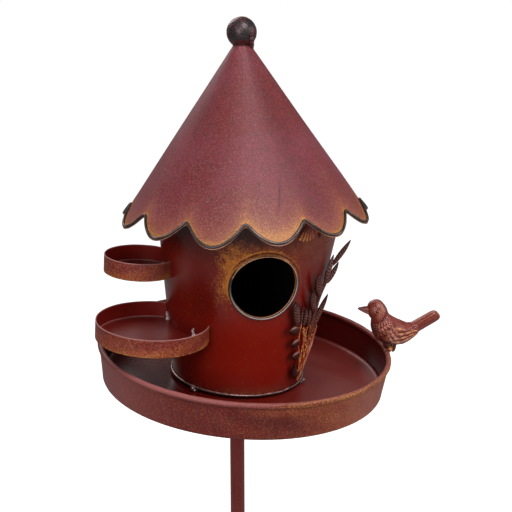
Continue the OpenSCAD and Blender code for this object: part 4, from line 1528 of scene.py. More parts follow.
@dataclass
class Dish:
    """A round dish welded to the house's side: a floor and a band, both cut to the wall."""

    shop: Shop
    house: House
    name: str
    radius: float
    azimuth: float
    rim_z: float
    welds: tuple[float, ...]
    weld_node: str
    out: float = 91.7
    depth: float = 15.0
    sheet: float = 1.0

    def _place(self) -> Place:
        """At the dish's middle, with z = 0 at its underside and the house towards +Y."""
        house = self.shop.stance.house()
        return house.turned(Axis.Z, self.azimuth).moved(0, -self.out, self.rim_z - self.depth)

    def build(self) -> None:
        """Builds the floor, the band and the welds."""
        self._floor()
        self._band()
        self._welds()

    def _cut(self, radius: float, height: Array) -> Array:
        """Half the angle that the house hides of a circle round the dish's middle.

        By the law of cosines: the house's axis, the dish's middle and the corner make a triangle.

        Args:
            radius: The circle's radius.
            height: Height above the dish's underside.

        Returns:
            The angle in radians, from the direction of the house.
        """
        wall = self.house.wall_r(height + self.rim_z - self.depth) + 0.02
        return np.arccos((self.out**2 + radius**2 - wall**2) / (2.0 * self.out * radius))

    def _floor(self) -> None:
        """The floor: rays from the dish's middle to its edge, or to the wall where that is nearer."""
        edge = self.radius - self.sheet
        wall = float(self.house.wall_r(self.rim_z - self.depth + self.sheet)) + 0.02
        cut = float(self._cut(edge, np.array(self.sheet)))
        free = np.linspace(cut, FULL_TURN - cut, 150)
        near = np.linspace(-cut, cut, 32)[1:-1]
        ray = np.concatenate([free, near])
        hidden = np.abs((ray + math.pi) % FULL_TURN - math.pi) < cut
        under = np.maximum(wall**2 - (self.out * np.sin(ray)) ** 2, 0.0)
        reach = np.where(hidden, self.out * np.cos(ray) - np.sqrt(under), edge)
        share = np.linspace(0.03, 1.0, 20)[:, None]
        x, y = share * reach * np.sin(ray), share * reach * np.cos(ray)
        top = xyz(x, y, self.sheet + 0.12 * ripple(x / 9.0, y / 9.0, 2.0) * (1.0 - share**6))
        grid = np.concatenate([top, xyz(x, y, 0.0)[::-1]])
        free = free[2:-2]
        path = xyz((edge - 0.3) * np.sin(free), (edge - 0.3) * np.cos(free), self.sheet + 0.3)
        fillet = tube(path, 0.7 + 0.15 * ripple(4.0 * free, free, 2.0), 10)
        # The fillet carries a painted highlight along the join.
        skins = [Skin.over(grid, {RUST: 0.04, GRIME: 0.2}), Skin.over(fillet, {PALE: 0.38})]
        place, paint = self._place(), self.shop.finishes.tray_inside
        self.shop.piece(f"{self.name}_base", skins, place, paint, "dish_paint", f"{self.name}_floor")

    def _band(self) -> None:
        """The band: a thin upright strip round the dish, closed at the wall at both ends."""
        share = steps(200)
        thin = self.sheet - 0.1
        lip = arc((self.radius - thin / 2.0, self.depth - thin / 2.0), thin / 2.0, 0.0, 180.0, 7)
        face = np.linspace((self.radius, 0.3), (self.radius, self.depth - thin), 9)
        back = np.linspace((self.radius - thin, self.depth - thin), (self.radius - thin, 0.1), 7)
        out, up = np.concatenate([[(self.radius - 0.4, 0.0)], face, lip, back]).T
        cut = self._cut(self.radius, up)
        ray = cut + (FULL_TURN - 2.0 * cut) * share
        x, y = np.sin(ray), np.cos(ray)
        flat = out + 0.12 * ripple(6.0 * x, 6.0 * y, 3.0)
        height = up + 0.1 * ripple(5.0 * y, 5.0 * x, 6.0) * (up > 2.0)
        grid = xyz(flat * x, flat * y, height)
        outside = out > self.radius - 0.45
        patches = patchy(3.0 * ray, height / 5.0, 4.0)
        low = hump(height, 0.0, 2.6)
        end = np.exp(-np.minimum(share, 1.0 - share) * 18.0)
        lower = fade(height, 2.0, 12.0)
        marks = {
            WORN: outside * (0.5 * low * (0.5 + patches) + 0.28 * lower * patches + 0.25 * end),
            RUST: outside * (0.06 + 0.42 * patches + 0.3 * lower + 0.2 * end),
            GRIME: np.where(outside, 0.1, 0.03),
            # A painted highlight along the top of the lip.
            PALE: 0.6 * smooth(height, self.depth - 0.7, self.depth - 0.3),
        }
        skins, place, paint = [Skin.over(grid, marks)], self._place(), self.shop.finishes.dish_side
        band = self.shop.piece(f"{self.name}_band", skins, place, paint, "dish_paint", f"{self.name}_wall")
        inside = np.arange(len(out)) >= len(face) + len(lip) - 1
        self.shop.lined(band, self.shop.finishes.lining, np.tile(inside, len(grid) - 1))

    def _welds(self) -> None:
        """The tacks of weld between the dish's floor and the wall."""
        height = self.rim_z - self.depth + self.sheet
        skins = []
        for k, turn in enumerate(self.welds):
            for up, size in ((1.0, 1.7), (3.2, 1.3), (5.2, 1.0), (7.0, 0.8)):
                middle = self.house.on_wall(self.azimuth + turn + 0.5 * math.sin(up), height + up, 0.8)
                skins.append(Skin.over(lump(middle, size, k + up, 1.2), {PALE: 0.2 + 0.6 * math.sin(up) ** 2}))
        place, iron = self.shop.stance.house(), self.shop.finishes.tack
        self.shop.piece(f"{self.name}_tacks", skins, place, iron, "dish_paint", self.weld_node)


@dataclass(frozen=True)
class Leaf:
    """A leaf on the wall: its base, the point that it bends towards, and its tip.

    Each point is azimuth, height above the tray's underside and stand-off from the wall.
    """

    base: Point
    tip: Point
    width: float
    bend: Point | None = None
    turn: float = 0.0
    thick: float = 2.4
    ribs: float = 2.8
    soot_and_shade_share: float = 0.9
    curled: float = 0.0

    def skin(self, house: House) -> Skin:
        """The leaf's surface.

        Its middle line is the curve (1-t)^2 base + 2t(1-t) bend + t^2 tip on the house's wall.
        Its half width swells by a sine and closes to a point, its face is crowned, and ribs run
        out from the middle line, slanted towards the tip.

        Args:
            house: The house whose wall it lies on.

        Returns:
            A closed surface.
        """
        base, tip = np.array(self.base), np.array(self.tip)
        bend = (base + tip) / 2.0 if self.bend is None else np.array(self.bend)
        t = steps(120)
        line = (1.0 - t) ** 2 * base + 2.0 * t * (1.0 - t) * bend + t**2 * tip
        middle = house.on_wall(*line.T)
        run = unit(np.gradient(middle, axis=0))
        across = unit(np.cross(around(1.0, line[:, 0] + self.turn, 0.0), run))
        out = np.cross(run, across)
        swell = np.sin(math.pi * np.minimum(t**0.85, 1.0)).clip(0.0, 1.0) ** 0.65
        half = 0.5 * self.width * (0.22 + 0.78 * swell) * (1.0 - 0.9 * t**9) + 0.05
        angle = circle(28)
        side, face = np.cos(angle), np.sin(angle)
        length = np.linalg.norm(np.diff(middle, axis=0), axis=-1).sum()
        phase = FULL_TURN * (length / self.ribs) * (t - 0.1 * np.abs(side) ** 1.3)
        upper = smooth(face, 0.0, 0.35) * (1.0 - np.abs(side) ** 4)
        ridge = 0.5 + 0.5 * np.cos(phase)
        body = smooth(t, 0.1, 0.22) * fade(t, 0.66, 0.86) * (1.0 - self.curled)
        rim = smooth(-side, 0.3, 0.9) * smooth(face, -0.1, 0.4) * fade(t, 0.8, 0.98) * self.curled
        spine = hump(side, 0.0, 0.16) * upper
        depth = 0.5 * self.thick * (0.55 + 0.45 * np.sin(math.pi * t)) * face
        depth = depth + upper * body * 0.6 * (ridge - 0.5) + 0.18 * spine * body + 0.5 * rim
        # Painted highlights on the ribs and on a curled leaf's upper rim, painted shade between the ribs, on the
        # lower flank and in a curled leaf's hollow, and darker grey towards the tip.
        marks = {
            WORN: upper * body * 0.22 * (ridge + spine),
            PALE: 0.5 * upper * body * smooth(ridge, 0.62, 1.0) + 0.6 * rim,
            GRIME: self.soot_and_shade_share * smooth(t, 0.3, 0.85) * upper,
            DEEP: 0.75 * upper * body * fade(ridge, 0.1, 0.7) + 0.95 * fade(face - 0.35 * side, -0.1, 0.6)
            + 0.6 * (self.curled - rim),
        }
        return Skin.over(carried(middle, half * side, across, depth, out), marks)


@dataclass
class Spray:
    """The cast spray of leaves on the wall, and the small shell flower under the eaves."""

    shop: Shop
    house: House

    def build(self) -> None:
        """Builds the stems, the branch, the leaves, the curled leaves and the flower."""
        self._stems()
        self._branch()
        left = [
            Leaf((28.4, 67.5, 3.6), (22.0, 92.0, 4.8), 7.4, (21.2, 84.0, 6.0), thick=4.6),
            Leaf((31.4, 66.0, 3.0), (28.8, 86.5, 3.8), 2.6, soot_and_shade_share=0.2),
            Leaf((34.6, 66.0, 3.4), (32.2, 84.0, 5.0), 5.0, thick=3.2, soot_and_shade_share=0.4),
            Leaf((40.0, 64.0, 3.4), (36.0, 82.5, 4.8), 5.0, thick=3.2, soot_and_shade_share=0.2),
        ]
        middle = [
            Leaf((42.2, 78.0, 4.2), (34.1, 98.7, 5.8), 6.4, (34.2, 90.0, 6.8), turn=-22.0, thick=4.6, soot_and_shade_share=0.6),
            Leaf((44.6, 91.0, 4.2), (36.7, 113.3, 5.8), 7.0, (36.6, 104.0, 6.8), turn=-25.0, thick=4.6, soot_and_shade_share=0.5),
        ]
        right = [
            Leaf((48.0, 60.0, 4.0), (52.0, 91.3, 8.4), 5.6, (54.6, 78.0, 4.6), turn=-35.0, soot_and_shade_share=0.5),
            Leaf((51.0, 100.0, 4.0), (55.2, 125.0, 3.8), 5.8, (49.0, 115.0, 5.0), turn=-30.0, soot_and_shade_share=0.3),
            Leaf((54.4, 100.0, 4.4), (60.0, 117.5, 8.2), 5.6, (62.0, 108.0, 6.2), turn=-35.0, soot_and_shade_share=0.3),
            Leaf((56.4, 115.0, 4.6), (53.0, 141.0, 15.8), 5.8, turn=-38.0, soot_and_shade_share=0.4),
        ]
        buds = [
            Leaf((31.0, 63.5, 2.8), (20.6, 65.5, 4.8), 8.6, thick=4.2, soot_and_shade_share=0.3, curled=1.0),
            Leaf((34.5, 50.5, 2.8), (25.0, 52.0, 4.6), 8.2, thick=4.2, soot_and_shade_share=0.3, curled=1.0),
            Leaf((38.0, 38.0, 2.8), (28.2, 39.5, 4.4), 7.8, thick=4.2, soot_and_shade_share=0.3, curled=1.0),
            Leaf((44.0, 21.0, 2.6), (33.0, 30.5, 4.0), 7.6, (37.0, 13.0, 3.2), thick=4.0, soot_and_shade_share=0.3, curled=1.0),
        ]
        for name, leaves, node in (
            ("leaves_by_entrance", left, "spray_leaves_left"),
            ("leaves_on_branch", middle, "spray_leaves_middle"),
            ("leaves_outer", right, "spray_leaves_right"),
            ("curled_leaves", buds, "spray_buds"),
        ):
            self._piece(name, [leaf.skin(self.house) for leaf in leaves], node)
        self._flower()

    def _piece(self, name: str, skins: list[Skin], node: str, rubbed: bool = False) -> None:
        """Puts one piece of the spray on the house, in the leaves' finish or the stems' rubbed one."""
        paint = self.shop.finishes.stem if rubbed else self.shop.finishes.leaf
        self.shop.piece(name, skins, self.shop.stance.house(), paint, "leaf_bronze", node)

    def _stem(self, line: Array, size: float, seed: float, bright: float) -> Skin:
        """One stem: a round bar along points of azimuth, height and stand-off, ridged like bark.

        Args:
            line: Those points.
            size: Largest radius.
            seed: Which ripple it has.
            bright: How much painted highlight its crest has instead of gold.

        Returns:
            The bar.
        """
        path = blended(line, 60)
        t, outward = steps(60), np.cos(circle(14))
        radius = size * (0.75 + 0.25 * np.sin(math.pi * t**0.7)) * (1.0 + 0.1 * ripple(14.0 * t, 9.0 * t, seed))
        grid = tube(self.house.on_wall(*path.T), radius[:, 0], 14, up=around(1.0, path[:, 0], 0.0))
        crest = smooth(outward + 0.45 * fade(t, 0.35, 0.65), 0.6, 0.95)
        gold = smooth(ripple(17.0 * t, 9.0 * t, seed + 1.0), -0.5, 0.2)
        # Gold on the crest, painted highlights where it is not gold and on the brightest stems, and painted shade
        # on the underside.
        marks = {
            WORN: crest * gold * (1.0 - bright),
            PALE: crest * (0.6 * (1.0 - gold) * (0.5 + 0.5 * math.sin(3.0 * seed)) + 0.85 * bright),
            DEEP: 0.65 * fade(outward, -0.1, 0.4),
        }
        return Skin.over(grid, marks)

    def _stems(self) -> None:
        """The stems: a bundle that fans out from one foot, over a low web that fills between them."""
        skins = [self._web()]
        for k, u in enumerate(np.linspace(-1.0, 1.0, 8)):
            swap = (-1.0) ** k
            foot = [47.5 + 2.2 * u, 8.5 + 3.0 * abs(u), 1.8]
            knee = [46.6 + 8.2 * u + 1.2 * swap, 33.0 + 4.0 * (k % 2), 3.0 + 0.6 * (k % 2)]
            neck = [46.0 + 12.0 * u - 1.4 * swap, 48.0 - 3.0 * u, 3.6 - 0.6 * (k % 2)]
            head = [45.0 + 14.5 * u + 0.8 * swap, 64.0 - 6.5 * u, 3.6]
            skins.append(self._stem(np.array([foot, knee, neck, head]), 0.95, 1.0 + k, 0.9 if k > 5 else 0.0))
        for k in range(36):
            high, side = (0.755 * k) % 1.0, (0.618 * k) % 1.0 - 0.5
            middle = (45.0 + side * (13.0 + 12.0 * high), 42.0 + 23.0 * high - 7.0 * side)
            skins.append(self._curl(*middle, 0.7 + 0.7 * ((0.37 * k) % 1.0), 0.9 * k))
        self._piece("stem_bundle", skins, "spray_stems", rubbed=True)

    def _web(self) -> Skin:
        """The web: a fan on the wall, thin at its edges, from the foot to the leaves.

        Returns:
            The fan.
        """
        t, u, face = steps(40), np.cos(circle(40)), np.maximum(np.sin(circle(40)), 0.0)
        half = 1.2 + 13.3 * t**0.8
        azimuth = 47.5 - 2.5 * t + half * u
        height = 9.0 + 53.0 * t - 7.0 * u * t
        off = 0.2 + face * (1.9 * (0.6 + 0.4 * t) + 0.35 * ripple(6.0 * u, 9.0 * t, 3.0))
        # Painted shade darkens the web between the stems.
        return Skin.over(self.house.on_wall(azimuth, height, off), {WORN: 0.1, DEEP: 0.3})

    def _curl(self, azimuth: float, height: float, size: float, seed: float) -> Skin:
        """A tendril: a thin bar wound three quarters round on the wall.

        Args:
            azimuth: Where its middle is.
            height: How high that is.
            size: Its outer radius.
            seed: Where it starts, and how pale it is.

        Returns:
            The bar.
        """
        t = np.linspace(0.0, 1.0, 26)
        turn, radius = 1.6 * math.pi * t + seed, size * (1.0 - 0.55 * t)
        across = azimuth + np.degrees(radius * np.cos(turn) / self.house.wall_r(height))
        middle = self.house.on_wall(across, height + radius * np.sin(turn), 3.9 + 0.8 * t)
        grid = tube(middle, 0.38 * (1.0 - 0.35 * t), 8, up=around(1.0, across, 0.0))
        # Gold on the crest, a painted highlight on some, and painted shade underneath.
        crest = smooth(np.cos(circle(8)), -0.2, 0.6)
        pale = 0.5 * crest * (math.sin(seed) > 0.4)
        return Skin.over(grid, {WORN: crest, PALE: pale, DEEP: 0.9 * (1.0 - crest)})

    def _branch(self) -> None:
        """The branch: a flat oval bar up the wall, with slanted ribs, that carries the outer leaves."""
        knots = ((44.0, 56.0, 4.2, 2.6), (44.4, 70.0, 4.0, 2.6), (45.0, 82.0, 3.8, 2.5), (46.6, 90.0, 3.8, 2.4),
                 (49.0, 96.0, 3.8, 2.3), (52.0, 102.0, 4.0, 2.2), (54.2, 108.0, 4.0, 1.8),
                 (56.4, 116.0, 4.6, 1.0))
        line = blended(knots, 110)
        middle = self.house.on_wall(*line.T[:3])
        run = unit(np.gradient(middle, axis=0))
        across = np.cross(around(1.0, line[:, 0], 0.0), run)
        t, size, right, face = steps(110), line[:, 3:], np.cos(circle(28)), np.sin(circle(28))
        ridge = 0.5 + 0.5 * np.cos(FULL_TURN * (34.0 * t - 0.55 * np.abs(right)))
        upper = smooth(face, -0.1, 0.5)
        depth = 0.62 * size * face + 0.28 * upper * (ridge - 0.5)
        grid = carried(middle, size * right, across, depth, np.cross(run, across))
        # Painted shade on the lower flank and between the ribs, and darker towards the top.
        marks = {
            WORN: upper * (0.3 * ridge + 0.35 * fade(t, 0.1, 0.45)),
            GRIME: 0.6 * upper * smooth(t, 0.3, 0.9),
            DEEP: 0.3 * (1.0 - ridge) * upper + 0.5 * (1.0 - upper),
        }
        self._piece("leaf_branch", [Skin.over(grid, marks)], "spray_branch")

    def _flower(self) -> None:
        """The flower: a shell of petals that fan down the wall from under the eaves, each with a round end."""
        petals = 5
        t, u, face = steps(40), np.cos(circle(80)), np.maximum(np.sin(circle(80)), 0.0)
        lobe = np.abs(np.sin(0.5 * math.pi * petals * (u + 1.0)))
        half = 1.6 + 4.6 * t**0.9
        azimuth = 23.2 + half * u
        length = 15.6 * (0.86 + 0.14 * lobe) * (1.0 - 0.16 * u**2)
        height = 159.0 - length * t
        off = 0.25 + face**0.5 * (0.5 + 1.1 * t) * (0.45 + 0.75 * lobe) * (1.0 - 0.5 * smooth(t, 0.86, 1.0))
        grid = self.house.on_wall(azimuth, height, off)
        # Gold on the lobes, painted highlights on their right, painted shade between them and the roof's painted
        # shadow over the top.
        marks = {
            WORN: (face > 0.0) * (0.1 + 0.8 * lobe) * smooth(t, 0.1, 0.8) * (1.0 - 0.6 * smooth(u, 0.1, 0.8)),
            DEEP: (face > 0.0) * (0.8 * (1.0 - lobe) + 0.35 * fade(t, 0.3, 0.8)),
            PALE: (face > 0.0) * 0.22 * lobe * smooth(u, 0.2, 0.8),
        }
        self._piece("eave_shell_flower", [Skin.over(grid, marks)], "eave_flower", rubbed=True)


@dataclass
class Bird:
    """The small cast bird that stands on the tray's rim."""

    shop: Shop
    tray: Tray
    azimuth: float = 79.0
    sections: Sections = (
        (-21.6, 36.0, 8.0, 2.2, 2.0), (-20.4, 36.8, 3.0, 5.4, 4.8), (-17.6, 37.2, -5.0, 8.2, 7.4),
        (-13.8, 36.8, -18.0, 9.5, 8.9), (-10.8, 32.8, -41.0, 9.5, 9.0), (-9.2, 28.9, -56.0, 8.9, 9.0),
        (-7.1, 25.5, -55.0, 10.5, 10.2), (-3.3, 21.1, -50.0, 12.7, 11.6), (1.3, 17.6, -42.0, 13.5, 12.1),
        (7.3, 16.0, -31.0, 12.1, 11.8), (13.2, 15.9, -15.0, 10.3, 10.5), (18.2, 18.4, 4.0, 7.4, 8.1),
        (22.0, 20.6, 24.0, 6.0, 6.2), (26.0, 23.4, 33.0, 5.2, 4.8),
    )

    def _place(self) -> Place:
        """On top of the rim, +X out from the tray."""
        tray = self.shop.stance.tray().turned(Axis.Z, self.azimuth - 90.0)
        return tray.moved(self.tray.radius, 0, self.tray.height + self.tray.bead)

    @staticmethod
    def _loft(sections: Sections, rows: int, columns: int) -> tuple[Array, Array, Array]:
        """Oval sections x, z, turn, half height and half width, blended into one form.

        Args:
            sections: The sections.
            rows: Rows along it.
            columns: Points round it.

        Returns:
            The grid, the share along it as a column and the angle round it as a row.
        """
        x, z, turn, tall, wide = blended(sections, rows).T[..., None]
        angle, lean = circle(columns), np.radians(turn)
        up = tall * np.sin(angle)
        grid = xyz(x - up * np.sin(lean), wide * np.cos(angle), z + up * np.cos(lean))
        return grid, steps(rows), angle

    @staticmethod
    def _scales(along: Array, over: Array) -> Array:
        """Overlapping round scales, 0 in the hollows and 1 on the crowns: rows are set off by half.

        Args:
            along: Positions across the rows, a row to each 1.
            over: Positions along a row, a scale to each 1.

        Returns:
            The height at each point.
        """
        row = np.floor(along)
        p = along - row
        q = (over + 0.5 * (row % 2.0)) % 1.0 - 0.5
        return np.sqrt(np.clip(1.0 - (2.0 * q) ** 2 - (1.25 * (p - 0.35)) ** 2, 0.0, 1.0))

    def build(self) -> None:
        """Builds the bird's pieces."""
        self._body()
        self._beak()
        self._wings()
        self._tail()
        self._legs()
        self._feet()

    def _piece(self, name: str, skins: list[Skin], node: str) -> None:
        """Puts one piece of the bird on the rim."""
        self.shop.piece(name, skins, self._place(), self.shop.finishes.bird, "bird_paint", node)

    def _body(self) -> None:
        """Head, breast and back in one form, with small feathers in relief and an eye on each side."""
        grid, share, angle = self._loft(self.sections, 190, 150)
        side, up = np.cos(angle), np.sin(angle)
        head = fade(share, 0.3, 0.46)
        stray = ripple(5.0 * side, 13.0 * share, 7.0)
        scales = self._scales(share * 17.0 + 1.1 * stray, 25.0 * angle / FULL_TURN + 1.3 * stray)
        fine = self._scales(share * 40.0, 22.0 * angle / FULL_TURN)
        quiet = 1.0 - 0.75 * smooth(up, 0.2, 0.8)
        relief = 0.9 * scales * quiet * (1.0 - head) * fade(share, 0.93, 1.0) + 0.14 * fine * head
        uneven = 0.25 * ripple(3.0 * side + 7.0 * share, 5.0 * share, 2.0)
        body = raised(grid, relief + uneven * smooth(share, 0.03, 0.12) * fade(share, 0.9, 1.0) - 0.25)
        # Painted shade on the belly.
        shaded_belly = smooth(-up, 0.25, 0.85) * (1.0 - head)
        blotch = smooth(ripple(4.0 * side + 9.0 * share, 9.0 * share, 4.0), -0.6, 0.7)
        crest = smooth(scales, 0.4, 0.9) * quiet
        face = smooth(share, 0.06, 0.2) * head * (1.0 - 0.8 * smooth(-up, 0.1, 0.6))
        feathers = crest * (1.0 - head)
        # Gold and painted highlights on the feather crowns and the face, painted shade in the hollows, on the
        # belly and over the head.
        marks = {
            WORN: 0.34 * feathers * (1.0 - blotch) + 0.4 * face * hump(share, 0.26, 0.06) * blotch,
            PALE: blotch * (0.56 * feathers * (1.0 - shaded_belly) + 0.36 * face * fine),
            RUST: 0.1,
            DEEP: 0.8 * fade(scales, 0.0, 0.5) * quiet * (1.0 - head) + 0.8 * shaded_belly * (1.0 - 0.3 * crest)
            + 0.3 * head * (1.0 - fine),
        }
        self._piece("bird_head_and_breast", [Skin.over(body, marks), *self._eyes()], "bird_body")

    def _eyes(self) -> list[Skin]:
        """An eyeball in a raised ring, on each side of the head.

        Returns:
            Two rings and two balls.
        """
        skins = []
        for side in (-1.0, 1.0):
            middle = np.array([-13.8, side * 8.25, 36.7])
            out = np.array([-0.26, side * 0.955, 0.14])
            right, up = np.cos(circle(40).T), np.sin(circle(40).T)
            level = unit(np.cross(out, (0.35, 0.0, 1.0)))
            ring = middle + 3.1 * right * level + 1.3 * up * np.abs(up) ** 0.4 * np.cross(level, out)
            lid = tube(ring, 0.5, 10, closed=True, up=out)
            skins.append(Skin.over(lid, {PALE: 0.28, WORN: 0.4}, ring=True))
            skins.append(Skin.over(lump(middle - 0.7 * out, 1.7, 0.0, 0.9, 14), {DEEP: 0.95}))
        return skins

    def _beak(self) -> None:
        """The beak: an oval section that shrinks to a blunt point, parted by a line on each side."""
        knots = ((-19.2, 35.6, 4.2, 4.0), (-21.8, 35.7, 3.6, 3.4), (-24.4, 36.0, 2.8, 2.7),
                 (-27.0, 36.3, 1.9, 1.8), (-29.0, 36.5, 1.2, 1.1), (-30.1, 36.6, 0.4, 0.4))
        x, z, tall, wide = blended(knots, 60).T[..., None]
        side, up = np.cos(circle(48)), np.sin(circle(48))
        parting = hump(up, -0.15, 0.13)
        size = 1.0 - 0.16 * parting
        grid = xyz(x, wide * side * size, z + tall * up * size)
        # Painted shade in the parting; darker at the tip and along the top, and paler below the parting.
        marks = {
            DEEP: 0.75 * parting + 0.45 * smooth(-x, 25.0, 29.0) + 0.35 * smooth(up, 0.4, 0.9),
            PALE: 0.4 * hump(up, -0.5, 0.25) * smooth(x, -28.0, -23.0),
        }
        self._piece("bird_bill", [Skin.over(grid, marks)], "bird_beak")

    def _wings(self) -> None:
        """A folded wing on each side: scales at the shoulder, then long feathers laid in steps."""
        sections = ((-12.0, 19.4, -20.0, 0.8, 0.8), (-9.6, 18.6, -15.0, 5.4, 1.7), (-5.0, 16.8, -8.0, 7.6, 2.4),
                    (1.0, 15.0, 4.0, 8.0, 2.4), (7.0, 15.0, 16.0, 6.4, 2.2), (13.0, 16.6, 26.0, 3.9, 1.7),
                    (18.6, 19.0, 32.0, 1.2, 0.9))
        skins = []
        for side in (-1.0, 1.0):
            grid, share, angle = self._loft(sections, 130, 110)
            up = np.sin(angle)
            rank = 3.8 * (0.5 - 0.5 * up) + 2.2 * share
            stepped = rank - np.floor(rank)
            long = smooth(share, 0.34, 0.46)
            scales = self._scales(share * 9.0, 3.0 * (0.5 + 0.5 * up))
            height = 0.6 * scales * (1.0 - long) + 0.85 * (1.0 - stepped) ** 0.7 * long
            ends = smooth(share, 0.02, 0.1) * fade(share, 0.94, 1.0)
            wing = raised(grid, (height - 0.2) * ends)
            barbs = 0.75 + 0.25 * np.sin(24.0 * share + 4.0 * up)
            crest = fade(stepped, 0.28, 0.68) * barbs * long + scales * (1.0 - long)
            hollow = smooth(stepped, 0.78, 0.98) * long + fade(scales, 0.1, 0.5) * (1.0 - long)
            seat = Place().moved(7.0, side * 10.7, 17.2).turned(Axis.Z, side * -14.0)
            wing = seat.turned(Axis.X, side * -8.0).moved(0.0, 0.0, -16.0).put(wing) / MM
            # Gold and painted highlights on the feather crests, painted shade in the hollows between them.
            pale = 0.9 * crest * patchy(5.0 * up, 8.0 * share, 2.0 + side)
            marks = {WORN: crest * long, PALE: pale, DEEP: 0.8 * hollow, RUST: 0.2}
            skins.append(Skin.over(wing, marks))
        self._piece("bird_folded_wings", skins, "bird_wings")

    def _tail(self) -> None:
        """The tail: a flat oval bar with grooves along it and a rounded end."""
        sections = ((19.0, 18.9, 30.0, 5.5, 5.4), (24.0, 22.3, 34.0, 5.7, 4.7), (30.0, 26.6, 35.0, 5.7, 4.1),
                    (36.0, 30.8, 35.0, 5.7, 3.7), (39.4, 33.2, 36.0, 5.6, 3.4), (41.9, 34.8, 37.0, 4.9, 2.9),
                    (43.5, 35.7, 39.0, 3.2, 2.1), (44.2, 36.1, 40.0, 1.0, 0.9))
        grid, share, angle = self._loft(sections, 120, 90)
        up = np.sin(angle)
        groove = np.abs(np.sin(2.5 * math.pi * (up + 0.1)))
        body = smooth(share, 0.08, 0.2) * fade(share, 0.86, 0.98)
        tail = raised(grid, 0.3 * (groove - 0.5) * body - 0.1)
        tip, under = smooth(share, 0.76, 0.97), smooth(-up, 0.75, 0.95)
        # Gold along the tip and underside, painted shade in the grooves and painted highlights on the upper
        # crests.
        marks = {
            WORN: 0.85 * tip + 0.55 * under * smooth(share, 0.15, 0.4) + 0.14 * groove,
            DEEP: 0.6 * fade(groove, 0.0, 0.35) * body,
            PALE: 0.3 * smooth(groove, 0.7, 1.0) * body * smooth(up, 0.2, 0.8),
            RUST: 0.15,
        }
        self._piece("bird_raised_tail", [Skin.over(tail, marks)], "bird_tail")

    def _legs(self) -> None:
        """Two short thick legs from the belly to the rim."""
        skins = []
        for side in (-1.0, 1.0):
            knots = ((6.0, side * 4.4, 11.5, 2.6), (6.0, side * 4.2, 6.0, 2.0),
                     (5.7, side * 4.2, 1.8, 1.8), (4.9, side * 4.2, -1.4, 1.7))
            line = blended(knots, 30)
            size = line[:, 3] * np.sqrt(smooth(line[:, 2], -1.6, 0.2) * 0.9 + 0.1)
            grid = tube(line[:, :3], size, 18, up=np.array([1.0, 0.0, 0.0]))
            # Painted highlight on the inward side, painted shade on the outward side.
            lit_inner_side = smooth(5.4 - grid[..., 0], 0.2, 1.6)
            skins.append(Skin.over(grid, {PALE: 0.55 * lit_inner_side, DEEP: 0.75 * (1.0 - lit_inner_side)}))
            # The thigh sits under the belly in painted shade.
            thigh = lump((-1.2, side * 4.0, 6.8), 3.9, 3.0 + side, 1.0, 16)
            skins.append(Skin.over(thigh, {DEEP: 0.75, WORN: 0.2}))
        self._piece("bird_short_legs", skins, "bird_legs")

    def _feet(self) -> None:
        """Two feet: a knuckle and three toes that grip over the rolled rim."""
        bead = self.tray.bead
        x, z = arc((0.0, -bead), bead + 0.75, 32.0, 158.0, 22).T
        size = np.linspace(1.15, 0.55, 22)
        skins = []
        for side in (-1.0, 1.0):
            knuckle = lump((2.7, side * 4.2, 1.3), 2.1, side, 1.0, 20)
            skins.append(Skin.over(knuckle, {WORN: 0.95}))
            for spread in (-1.9, 0.0, 1.9):
                path = xyz(x, side * 4.2 + spread * np.linspace(0.5, 1.15, 22), z)
                toe = tube(path, size, 12, up=np.array([0.0, 1.0, 0.0]))
                skins.append(Skin.over(toe, {WORN: 0.12, DEEP: 0.35}))
        self._piece("bird_gripping_feet", skins, "bird_feet")


# ---- studio ----


@dataclass(frozen=True)
class Lamp:
    """A square soft lamp: where it stands, what it looks at, its size in metres and its power."""

    name: str
    place: Point
    size: float
    power: float


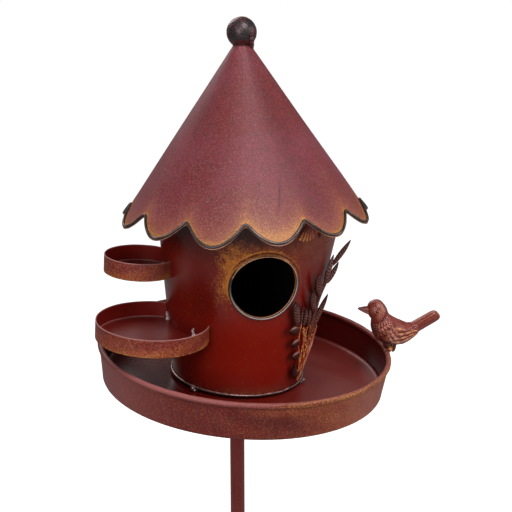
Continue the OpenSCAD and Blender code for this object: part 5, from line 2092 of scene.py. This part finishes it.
@dataclass
class Studio:
    """The pale floor, the plain white surroundings, the lamps and the camera."""

    aim: Point = (0.0, 0.0, 0.84)
    camera_at: Point = (-0.1545, -0.7136, 1.0163)
    heading: float = -12.22
    yaw: float = 1.37
    pitch: float = 15.76
    focal: float = 60.83
    floor_half: float = 12.0
    lamps: tuple[Lamp, ...] = (
        Lamp("key_lamp", (0.2, -1.1, 2.3), 1.0, 20.5),
        Lamp("front_lamp", (-1.2, -1.7, 1.35), 1.1, 14.0),
        Lamp("side_lamp", (1.8, -0.75, 1.35), 1.0, 9.5),
        Lamp("back_lamp", (-0.5, 1.9, 2.2), 1.4, 17.0),
    )

    def build(self) -> None:
        """Builds the whole studio."""
        self._camera()
        self._world()
        self._floor()
        for lamp in self.lamps:
            self._light(lamp)
        bpy.context.scene.view_settings.view_transform = "Standard"

    def _camera(self) -> None:
        """The camera, level from side to side, turned by its heading and tipped down by its pitch."""
        turn, tip = math.radians(self.heading), math.radians(self.pitch)
        yaw = math.radians(self.yaw)
        level = Vector((math.sin(yaw) * math.cos(tip), math.cos(yaw) * math.cos(tip), -math.sin(tip)))
        ahead = Matrix.Rotation(turn, 3, "Z") @ level
        data = bpy.data.cameras.new("camera")
        data.lens, data.sensor_width = self.focal, 36.0
        data.clip_start, data.clip_end = 0.05, 60.0
        camera = bpy.data.objects.new("camera", data)
        camera.location = self.camera_at
        camera.rotation_euler = ahead.to_track_quat("-Z", "Y").to_euler()
        bpy.context.scene.collection.objects.link(camera)
        bpy.context.scene.camera = camera

    def _world(self) -> None:
        """Plain white surroundings, which light the feeder softly and show as white."""
        world = bpy.data.worlds.new("white_studio")
        mill = Mill(world)
        soft = mill.node("ShaderNodeBackground", None, {"Color": (0.97, 0.98, 1.0, 1.0), "Strength": 0.17})
        plain = mill.node("ShaderNodeBackground", None, {"Color": WHITE, "Strength": 1.0})
        seen = mill.node("ShaderNodeLightPath", out="Is Camera Ray")
        mix = mill.node("ShaderNodeMixShader", None, {0: seen, 1: soft, 2: plain})
        mill.node("ShaderNodeOutputWorld", None, {"Surface": mix})
        bpy.context.scene.world = world

    def _floor(self) -> None:
        """The floor: a wide pale square, lit by itself a little where the camera sees it."""
        side = np.linspace(-self.floor_half, self.floor_half, 25)
        skin = Skin.patch(xyz(side, side[:, None], 0.0), {})
        mesh = bpy.data.meshes.new("pale_floor")
        mesh.from_pydata(skin.points.tolist(), [], skin.quads.tolist())
        mill = Mill(bpy.data.materials.new("pale_floor"))
        tint = mill.colours((0.6, 0.6, 0.6), (0.64, 0.64, 0.64), mill.noise(1.5, 2.0))
        glow = mill.node("ShaderNodeLightPath", out="Is Camera Ray") * 0.92
        sockets = {"Base Color": tint, "Roughness": 0.9, "Emission Color": WHITE, "Emission Strength": glow}
        mesh.materials.append(mill.surface(sockets))
        floor = bpy.data.objects.new("pale_floor", mesh)
        bpy.context.scene.collection.objects.link(floor)

    def _light(self, lamp: Lamp) -> None:
        """Places one soft lamp, facing the feeder.

        Args:
            lamp: The lamp.
        """
        data = bpy.data.lights.new(lamp.name, "AREA")
        data.shape, data.size, data.energy = "SQUARE", lamp.size, lamp.power
        light = bpy.data.objects.new(lamp.name, data)
        light.location = lamp.place
        light.rotation_euler = (Vector(self.aim) - Vector(lamp.place)).to_track_quat("-Z", "Y").to_euler()
        bpy.context.scene.collection.objects.link(light)


def corners(box: Any) -> list[list[float]]:
    """A box's two corners as plain lists."""
    return [[float(v) for v in corner] for corner in box]


def main() -> None:
    """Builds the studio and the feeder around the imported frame."""
    logging.basicConfig(level=logging.INFO, format="%(name)s %(message)s")
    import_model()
    Studio().build()
    shop = Shop(Stance(), Finishes())
    tray, house = Tray(shop), House(shop)
    Pole(shop).build()
    tray.build()
    house.build()
    Roof(shop).build()
    Dish(shop, house, "lower_dish", 47.3, -65.7, 66.4, (-24.0, 16.0), "lower_dish_welds").build()
    Dish(shop, house, "upper_dish", 30.9, -88.0, 112.8, (2.5,), "upper_dish_weld").build()
    Spray(shop, house).build()
    Bird(shop, tray).build()
    log.info("%d pieces", shop.made)


if __name__ == "__main__":
    main()
